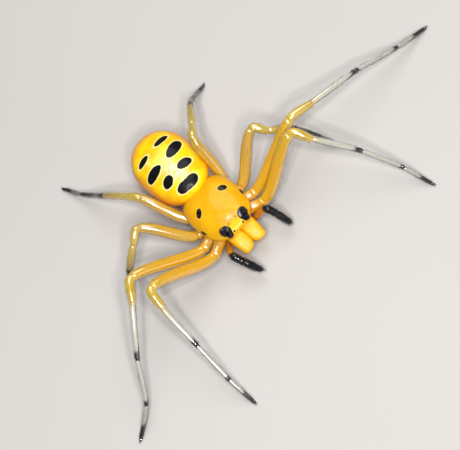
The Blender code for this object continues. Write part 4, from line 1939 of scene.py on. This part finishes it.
class SetaeTree(Graph):
    """A Geometry Nodes tree that grows thin bent hairs on a skin, along its lie."""

    INPUTS = {"Density": "NodeSocketFloat", "Length": "NodeSocketFloat", "Radius": "NodeSocketFloat",
              "Lean": "NodeSocketFloat", "Coat": "NodeSocketFloat", "Seed": "NodeSocketInt",
              "Finish": "NodeSocketMaterial"}
    BEND = 0.28
    JITTER = 0.22
    VARY = (0.6, 1.25)

    def __init__(self) -> None:
        """Builds the tree."""
        super().__init__(bpy.data.node_groups.new("setae", "GeometryNodeTree"))
        self.tree.interface.new_socket("Geometry", in_out="INPUT", socket_type="NodeSocketGeometry")
        self.tree.interface.new_socket("Geometry", in_out="OUTPUT", socket_type="NodeSocketGeometry")
        for name, kind in self.INPUTS.items():
            self.tree.interface.new_socket(name, in_out="INPUT", socket_type=kind)
        self._grow()

    def _named(self, name: str, kind: str = "FLOAT") -> bpy.types.NodeSocket:
        """An attribute of the skin."""
        node = self.node("GeometryNodeInputNamedAttribute", {"data_type": kind}, {"Name": name})
        return node.outputs[0]

    def _times(self, first: Any, second: Any) -> bpy.types.NodeSocket:
        """The product of two numbers."""
        return self.node("ShaderNodeMath", {"operation": "MULTIPLY"}, {0: first, 1: second}).outputs[0]

    def _scaled(self, vector: Any, amount: Any) -> bpy.types.NodeSocket:
        """A vector times a number."""
        node = self.node("ShaderNodeVectorMath", {"operation": "SCALE"}, {0: vector, "Scale": amount})
        return node.outputs[0]

    def _sum(self, first: Any, second: Any) -> bpy.types.NodeSocket:
        """The sum of two vectors."""
        return self.node("ShaderNodeVectorMath", {"operation": "ADD"}, {0: first, 1: second}).outputs[0]

    def _hair(self, given: bpy.types.Node) -> bpy.types.NodeSocket:
        """One hair of length 1 that tapers and bends over, with its own place in a tuft.

        Args:
            given: The tree's inputs.

        Returns:
            The hair's mesh.
        """
        cone = self.node("GeometryNodeMeshCone", {"fill_type": "TRIANGLE_FAN"}, {
            "Vertices": 3, "Side Segments": 3, "Fill Segments": 1, "Radius Top": 0.0,
            "Radius Bottom": given.outputs["Radius"], "Depth": 1.0})
        place = self.node("GeometryNodeInputPosition").outputs[0]
        parts = self.node("ShaderNodeSeparateXYZ", {}, {0: place}).outputs
        bend = self._times(self._times(parts["Z"], parts["Z"]), self.BEND)
        moved = self.node("GeometryNodeSetPosition", {}, {
            "Geometry": cone.outputs["Mesh"],
            "Offset": self.node("ShaderNodeCombineXYZ", {}, {"X": bend}).outputs[0]})
        flat = self.node("ShaderNodeCombineXYZ", {}, {"X": parts["X"], "Y": parts["Z"]})
        stored = self.node(
            "GeometryNodeStoreNamedAttribute", {"data_type": "FLOAT_VECTOR", "domain": "POINT"},
            {"Geometry": moved.outputs[0], "Name": "tuft", "Value": flat.outputs[0]})
        return stored.outputs[0]

    def _grow(self) -> None:
        """Scatters the hairs, turns them along the lie and gives them their bake map."""
        given = self.node("NodeGroupInput")
        same = self.node("FunctionNodeCompare", {"data_type": "FLOAT", "operation": "EQUAL"}, {
            "A": self._named("coat"), "B": given.outputs["Coat"], "Epsilon": 0.1})
        points = self.node("GeometryNodeDistributePointsOnFaces", {"distribute_method": "RANDOM"}, {
            "Mesh": given.outputs["Geometry"], "Selection": same.outputs["Result"],
            "Density": self._times(given.outputs["Density"], self._named("hairs")),
            "Seed": given.outputs["Seed"]})
        jitter = self.node("FunctionNodeRandomValue", {"data_type": "FLOAT_VECTOR"}, {
            "Min": [-self.JITTER] * 3, "Max": [self.JITTER] * 3, "Seed": given.outputs["Seed"]})
        lie = self._named("lie", "FLOAT_VECTOR")
        way = self._sum(self._sum(points.outputs["Normal"], self._scaled(lie, given.outputs["Lean"])),
                        jitter.outputs[0])
        turn = self.node("FunctionNodeAxesToRotation", {"primary_axis": "Z", "secondary_axis": "X"}, {
            "Primary Axis": way, "Secondary Axis": lie})
        vary = self.node("FunctionNodeRandomValue", {"data_type": "FLOAT"}, {
            "Min": self.VARY[0], "Max": self.VARY[1], "Seed": given.outputs["Seed"]})
        length = self._times(given.outputs["Length"], self._named("hair_length"))
        hairs = self.node("GeometryNodeInstanceOnPoints", {}, {
            "Points": points.outputs["Points"], "Instance": self._hair(given),
            "Rotation": turn.outputs[0], "Scale": self._times(length, vary.outputs[1])})
        real = self.node("GeometryNodeRealizeInstances", {}, {"Geometry": hairs.outputs[0]})
        patch = self._sum(self._named(BAKE_MAP, "FLOAT_VECTOR"),
                          self._scaled(self._named("tuft", "FLOAT_VECTOR"), TUFT_PATCH))
        mapped = self.node(
            "GeometryNodeStoreNamedAttribute", {"data_type": "FLOAT2", "domain": "CORNER"},
            {"Geometry": real.outputs[0], "Name": BAKE_MAP, "Value": patch})
        smooth = self.node("GeometryNodeSetShadeSmooth", {}, {"Geometry": mapped.outputs[0]})
        dressed = self.node("GeometryNodeSetMaterial", {}, {
            "Geometry": smooth.outputs[0], "Material": given.outputs["Finish"]})
        out = self.node("NodeGroupOutput")
        self.tree.links.new(dressed.outputs[0], out.inputs[0])

    def grow(self, skin: bpy.types.Object, name: str, values: dict[str, Any]) -> bpy.types.Object:
        """Grows one coat as a mesh of its own.

        Args:
            skin: The surface that it grows on.
            name: Name of the finished piece.
            values: The tree's inputs by name.

        Returns:
            The coat.
        """
        carrier = linked(name + "_carrier", skin.data)
        modifier = carrier.modifiers.new("setae", "NODES")
        modifier.node_group = self.tree
        for item in self.tree.interface.items_tree:
            if item.in_out == "INPUT" and item.name in values:
                modifier[item.identifier] = values[item.name]
        carrier.update_tag()
        bpy.context.view_layer.update()
        graph = bpy.context.evaluated_depsgraph_get()
        mesh = bpy.data.meshes.new_from_object(carrier.evaluated_get(graph))
        mesh.name = name
        bpy.data.objects.remove(carrier, do_unlink=True)
        return linked(name, mesh)


@dataclass(frozen=True)
class Lens:
    """The shape of an eye: a dome on a slightly wider foot.

    Attributes:
        width: Its width as a share of the solid eye's.
        sunk: How far it sinks into the carapace.
        foot: Share by which its foot is wider.
        foot_place: Height of the foot, as a share of the radius.
        foot_reach: How far up and down the foot goes.
        rings: Rings between its poles, with the poles.
        segments: Points around it.
    """

    width: float
    sunk: float
    foot: float = 0.06
    foot_place: float = -0.1
    foot_reach: float = 0.12
    rings: int = 22
    segments: int = 28

    def shell(self, centre: np.ndarray, normal: np.ndarray, radius: float) -> Shell:
        """Makes the lens.

        Args:
            centre: Its middle.
            normal: The way it looks.
            radius: Its radius.

        Returns:
            The closed shell.
        """
        t = np.linspace(0.0, math.pi, self.rings)[1:-1]
        height, turn = np.cos(t), even_turns(self.segments)
        across = np.sin(t) * (1.0 + self.foot * bump(height - self.foot_place, self.foot_reach))
        beside = unit(np.cross(normal, vec(0, 1, 0)))
        ahead = np.cross(normal, beside)
        around = np.cos(turn)[:, None] * beside + np.sin(turn)[:, None] * ahead
        rings = centre + radius * (height[:, None, None] * normal + across[:, None, None] * around)
        return Shell(rings, centre + normal * radius, centre - normal * radius, Finish.CARAPACE)


@dataclass(frozen=True)
class Claws:
    """The two claws at the end of a foot. Places are ahead, aside and up."""

    root_share: float = 0.8
    apart: float = 0.05
    bend: Triple = (0.2, 0.04, 0.08)
    end: Triple = (0.26, 0.05, -0.1)
    radius: float = 0.032

    def shells(self, leg: Leg) -> list[Shell]:
        """The claws of one leg.

        Args:
            leg: The leg.

        Returns:
            Two closed shells.
        """
        _, toe = leg.limb()
        tip = leg.joints()[5] + toe * (leg.foot_flat * self.root_share)
        across = np.cross(toe, vec(0, 0, 1))
        made = []
        for out in (-1, 1):
            root = tip + across * (self.apart * out)
            bend, end = (root + toe * ahead + across * (aside * out) + vec(0, 0, up)
                         for ahead, aside, up in (self.bend, self.end))
            made.append(hook((root, bend, end), self.radius, tip=0.003, power=0.8, steps=12, segments=8))
        return made


@dataclass
class Spider:
    """The whole animal: its parts, the pieces they become and the nodes that these replace."""

    home: Home
    carapace: Carapace = field(default_factory=Carapace)
    abdomen: Abdomen = field(default_factory=Abdomen)
    underbody: Underbody = field(default_factory=Underbody)
    jaws: Jaws = field(default_factory=Jaws)
    palps: tuple[Palp, ...] = (
        Palp("left", (3.12, -4.0, 3.2), (3.85, -6.3, 1.2)),
        Palp("right", (2.55, -4.55, 2.75), (1.6, -7.45, 1.2)),
    )
    legs: list[Leg] = field(default_factory=all_legs)
    underside_finish: PlainCuticle = PlainCuticle(
        Finish.UNDERSIDE.value, srgb(206, 138, 24), srgb(186, 112, 20))
    jaw_finish: PlainCuticle = PlainCuticle(
        Finish.JAW.value, srgb(252, 190, 0), srgb(246, 176, 0), 0.4,
        gloss=Gloss(coat=0.05, coat_roughness=0.12, glow=0.1, glow_colour=(1.0, 0.8, 0.1)))
    eye_names: tuple[str, ...] = ("front_side", "rear_side", "front_middle", "rear_middle")
    eye_shift: Span = (0.08, 0.14)
    side_lens: Lens = Lens(1.05, 0.0)
    middle_lens: Lens = Lens(0.8, 0.06)
    claws: Claws = Claws()
    hair_length: float = 0.34
    hair_radius: float = 0.035
    hair_lean: float = 1.3
    first_seed: int = 7
    coats: tuple[tuple[str, Coat, float, str], ...] = (
        ("setae_front_legs", Coat.FRONT_LEGS, 22.0, "leg_grey"),
        ("setae_hind_legs", Coat.HIND_LEGS, 22.0, "leg_grey"),
        ("setae_body", Coat.BODY, 5.0, "yellow_cuticle"),
        ("setae_palps", Coat.PALPS, 26.0, "gloss_black"),
    )

    def finishes(self) -> dict[Finish, bpy.types.Material]:
        """The skin's materials."""
        home = self.home
        return {
            Finish.CARAPACE: CarapaceFinish().material(home, self.carapace),
            Finish.ABDOMEN: AbdomenFinish().material(home, self.abdomen),
            Finish.UNDERSIDE: self.underside_finish.material(home),
            Finish.JAW: self.jaw_finish.material(home),
            Finish.PALP: PalpFinish().material(home),
            Finish.FRONT_LEG: LegFinish(True).material(home),
            Finish.HIND_LEG: LegFinish(False).material(home),
        }

    def dress(self, piece: bpy.types.Object, slot: str, nodes: Sequence[str] = ()) -> None:
        """Attaches a finished piece to the root and hides the nodes that it stands for.

        Args:
            piece: The object.
            slot: Not used.
            nodes: The frame's nodes that it stands for.
        """
        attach(piece, "root")
        if nodes:
            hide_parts(*nodes)
        LOG.info("%s: %d faces", piece.name, len(piece.data.polygons))

    def skin(self, nodes: Sequence[str]) -> bpy.types.Object:
        """Builds the skin that stands for all the flesh.

        Args:
            nodes: Names of the frame's nodes.

        Returns:
            The skin.
        """
        maker = SkinMaker(self.home, "spider_skin")
        maker.add(self.carapace.shell(), self.abdomen.shell())
        maker.add(*self.underbody.shells(self.abdomen))
        maker.add(*self.jaws.shells())
        maker.add(*(palp.shell() for palp in self.palps))
        maker.add(*(leg.shell() for leg in self.legs))
        skin = maker.build(list(Finish), self.finishes())
        self.dress(skin, "orange_cuticle", [name for name in nodes if not name.startswith("eye_")])
        return skin

    def eyes(self) -> None:
        """Replaces each eye by a fine dome that sinks into its mound."""
        black, amber = EyeFinish().material(self.home), EyeFinish.pale().material(self.home)
        for place in self.eye_names:
            for side in SIDES:
                self._eye(place, side, amber if place == "rear_middle" else black)

    def _eye(self, place: str, side: str, material: bpy.types.Material) -> None:
        """Makes one eye where its node is.

        Args:
            place: Which pair it belongs to.
            side: left or right.
            material: What it wears.
        """
        node = f"eye_{place}_{side}"
        low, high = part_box(node)
        x, y = self.home.body(((low.x + high.x) / 2, (low.y + high.y) / 2, 0.0))[:2]
        if place == "rear_side":
            x, y = x * (1 - self.eye_shift[0] / abs(x)), y - self.eye_shift[1]
        lens = self.middle_lens if "middle" in place else self.side_lens
        radius = max(high.x - low.x, high.y - low.y) / MM / 2 * lens.width
        centre = vec(x, y, high.z / MM - radius - lens.sunk)
        maker = SkinMaker(self.home, f"lens_{place}_{side}")
        maker.add(lens.shell(centre, self.carapace.normal(x, y), radius))
        self.dress(maker.build([Finish.CARAPACE], {Finish.CARAPACE: material}), "gloss_black", [node])

    def claws_and_fangs(self) -> None:
        """Adds two curved claws at each foot and the two fangs."""
        material = HornFinish().material(self.home)
        horns = {f"claws_{leg.side}_{leg.number}": self.claws.shells(leg) for leg in self.legs}
        horns["fangs"] = [self.jaws.fang(side) for side in SIDES]
        for name, shells in horns.items():
            maker = SkinMaker(self.home, name)
            maker.add(*shells)
            self.dress(maker.build([Finish.JAW], {Finish.JAW: material}), "gloss_black")

    def setae(self, skin: bpy.types.Object) -> None:
        """Grows the coats of setae on the skin."""
        finishes = {
            Coat.FRONT_LEGS: LegFinish(True).material(self.home, coat=True),
            Coat.HIND_LEGS: LegFinish(False).material(self.home, coat=True),
            Coat.BODY: AbdomenFinish().material(self.home, self.abdomen, coat=True),
            Coat.PALPS: PalpFinish().material(self.home, coat=True),
        }
        tree = SetaeTree()
        for name, coat, density, slot in self.coats:
            piece = tree.grow(skin, name, {
                "Density": density / MM**2, "Length": self.hair_length * MM, "Radius": self.hair_radius,
                "Lean": self.hair_lean, "Coat": float(coat.value), "Seed": coat.value + self.first_seed,
                "Finish": finishes[coat]})
            self.dress(piece, slot)


@dataclass(frozen=True)
class Lamp:
    """A round soft lamp.

    Attributes:
        name: Its name.
        way: Where it stands, as shares of the picture's right, up and back.
        distance: How far from the body.
        size: How wide it is.
        power: Its strength in watts.
    """

    name: str
    way: Triple
    distance: float
    size: float
    power: float


@dataclass
class Studio:
    """Floor, lights and camera. Directions are read in the picture: right, up and towards it."""

    home: Home
    elevation: float = 66.0
    yaw: float = -7.0
    axis: float = 40.8
    distance: float = 230.0
    lens: float = 180.0
    aim: Span = (1.34, -1.72)
    rim_height: float = 3.2
    sensor: float = 36.0
    clip: Span = (0.001, 10.0)
    floor_size: float = 3.0
    floor_light: Colour = (0.54, 0.515, 0.49)
    floor_dark: Colour = (0.5, 0.475, 0.45)
    floor_roughness: float = 0.7
    lit: Triple = (0.0, 2.0, 3.0)
    key: Lamp = Lamp("key", (-0.15, 0.74, 0.66), 210.0, 190.0, 0.27)
    fill: Lamp = Lamp("fill", (0.9, -0.3, 0.9), 260.0, 140.0, 0.05)
    flash_lamps: int = 8
    flash_radius: float = 0.19
    flash_drop: float = 0.06
    flash_distance: float = 225.0
    flash_size: float = 8.0
    flash_power: float = 0.5
    sky: Colour = (0.9, 0.93, 1.0)
    sky_strength: float = 0.16

    def axes(self) -> tuple[np.ndarray, np.ndarray, np.ndarray]:
        """The picture's right and up, and the direction back to the camera."""
        e, y = math.radians(self.elevation), math.radians(self.yaw)
        back = vec(math.sin(y) * math.cos(e), -math.cos(y) * math.cos(e), math.sin(e))
        flat = vec(math.cos(y), math.sin(y), 0.0)
        up = np.cross(back, flat)
        ahead = vec(0.0, -1.0, 0.0)
        roll = math.radians(self.axis) - math.atan2(-ahead @ up, ahead @ flat)
        c, s = math.cos(roll), math.sin(roll)
        return c * flat + s * up, -s * flat + c * up, back

    def camera(self) -> None:
        """Sets the camera where the photograph was taken from."""
        right, up, back = self.axes()
        centre = vec(0.0, 0.0, self.rim_height)
        place = centre + right * self.aim[0] + up * self.aim[1] + back * self.distance
        data = bpy.data.cameras.new("camera")
        data.lens = self.lens
        data.sensor_width = self.sensor
        data.clip_start, data.clip_end = self.clip
        obj = linked("camera", data)
        turned = Matrix((Vector(right), Vector(up), Vector(back))).transposed().to_4x4()
        obj.matrix_world = Matrix.Translation(Vector(self.home.place(place))) @ turned
        bpy.context.scene.camera = obj

    def light(self, lamp: Lamp) -> None:
        """Hangs a lamp, turned towards the body.

        Args:
            lamp: What it is like and where it hangs.
        """
        toward = unit(sum(share * axis for share, axis in zip(lamp.way, self.axes())))
        data = bpy.data.lights.new(lamp.name, "AREA")
        data.shape = "DISK"
        data.size = lamp.size * MM
        data.energy = lamp.power
        obj = linked(lamp.name, data)
        obj.location = Vector(self.home.place(vec(*self.lit) + toward * lamp.distance))
        obj.rotation_euler = Vector(toward).to_track_quat("Z", "Y").to_euler()

    def flash(self) -> list[Lamp]:
        """The ring of small lamps around the camera."""
        lamps = []
        for i in range(self.flash_lamps):
            turn = 2 * math.pi * i / self.flash_lamps
            across, up = self.flash_radius * math.cos(turn), self.flash_radius * math.sin(turn)
            way = (across, up - self.flash_drop, 1.0)
            lamps.append(Lamp(f"flash_{i}", way, self.flash_distance, self.flash_size,
                              self.flash_power / self.flash_lamps))
        return lamps

    def floor(self) -> None:
        """Lays a pale floor under the feet."""
        mesh = bpy.data.meshes.new("floor")
        half = self.floor_size / 2
        places = [(-half, -half, 0), (half, -half, 0), (half, half, 0), (-half, half, 0)]
        mesh.from_pydata(places, [], [(0, 1, 2, 3)])
        m = MaterialMaker("pale_floor", self.home)
        clouds = m.mix(m.noise(0.02, 2.0), self.floor_dark, self.floor_light)
        m.surface(clouds, self.floor_roughness, Gloss(specular=0.2))
        mesh.materials.append(m.material)
        linked("floor", mesh)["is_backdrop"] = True

    def build(self) -> None:
        """Sets up the floor, the lights, the sky and the camera."""
        self.floor()
        self.camera()
        for lamp in (self.key, *self.flash(), self.fill):
            self.light(lamp)
        world = bpy.data.worlds.new("sky")
        world.use_nodes = True
        background = world.node_tree.nodes["Background"]
        background.inputs["Color"].default_value = (*self.sky, 1.0)
        background.inputs["Strength"].default_value = self.sky_strength
        bpy.context.scene.world = world
        bpy.context.scene.view_settings.view_transform = "Standard"


def corners(bounds: Any) -> list[list[float]]:
    """A box's two corners as plain lists."""
    return [[float(value) for value in corner] for corner in bounds]


def main() -> None:
    """Builds the spider and its studio, and measures the frame's box and the model's box."""
    logging.basicConfig(level=logging.INFO, format="%(message)s")
    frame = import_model()
    frame_box = corners(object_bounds())
    home = Home.from_frame(Carapace().front)
    Studio(home).build()
    spider = Spider(home)
    skin = spider.skin(list(frame["nodes"]))
    spider.eyes()
    spider.claws_and_fangs()
    spider.setae(skin)
    {"cad": frame_box, "visual": corners(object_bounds())}


if __name__ == "__main__":
    main()
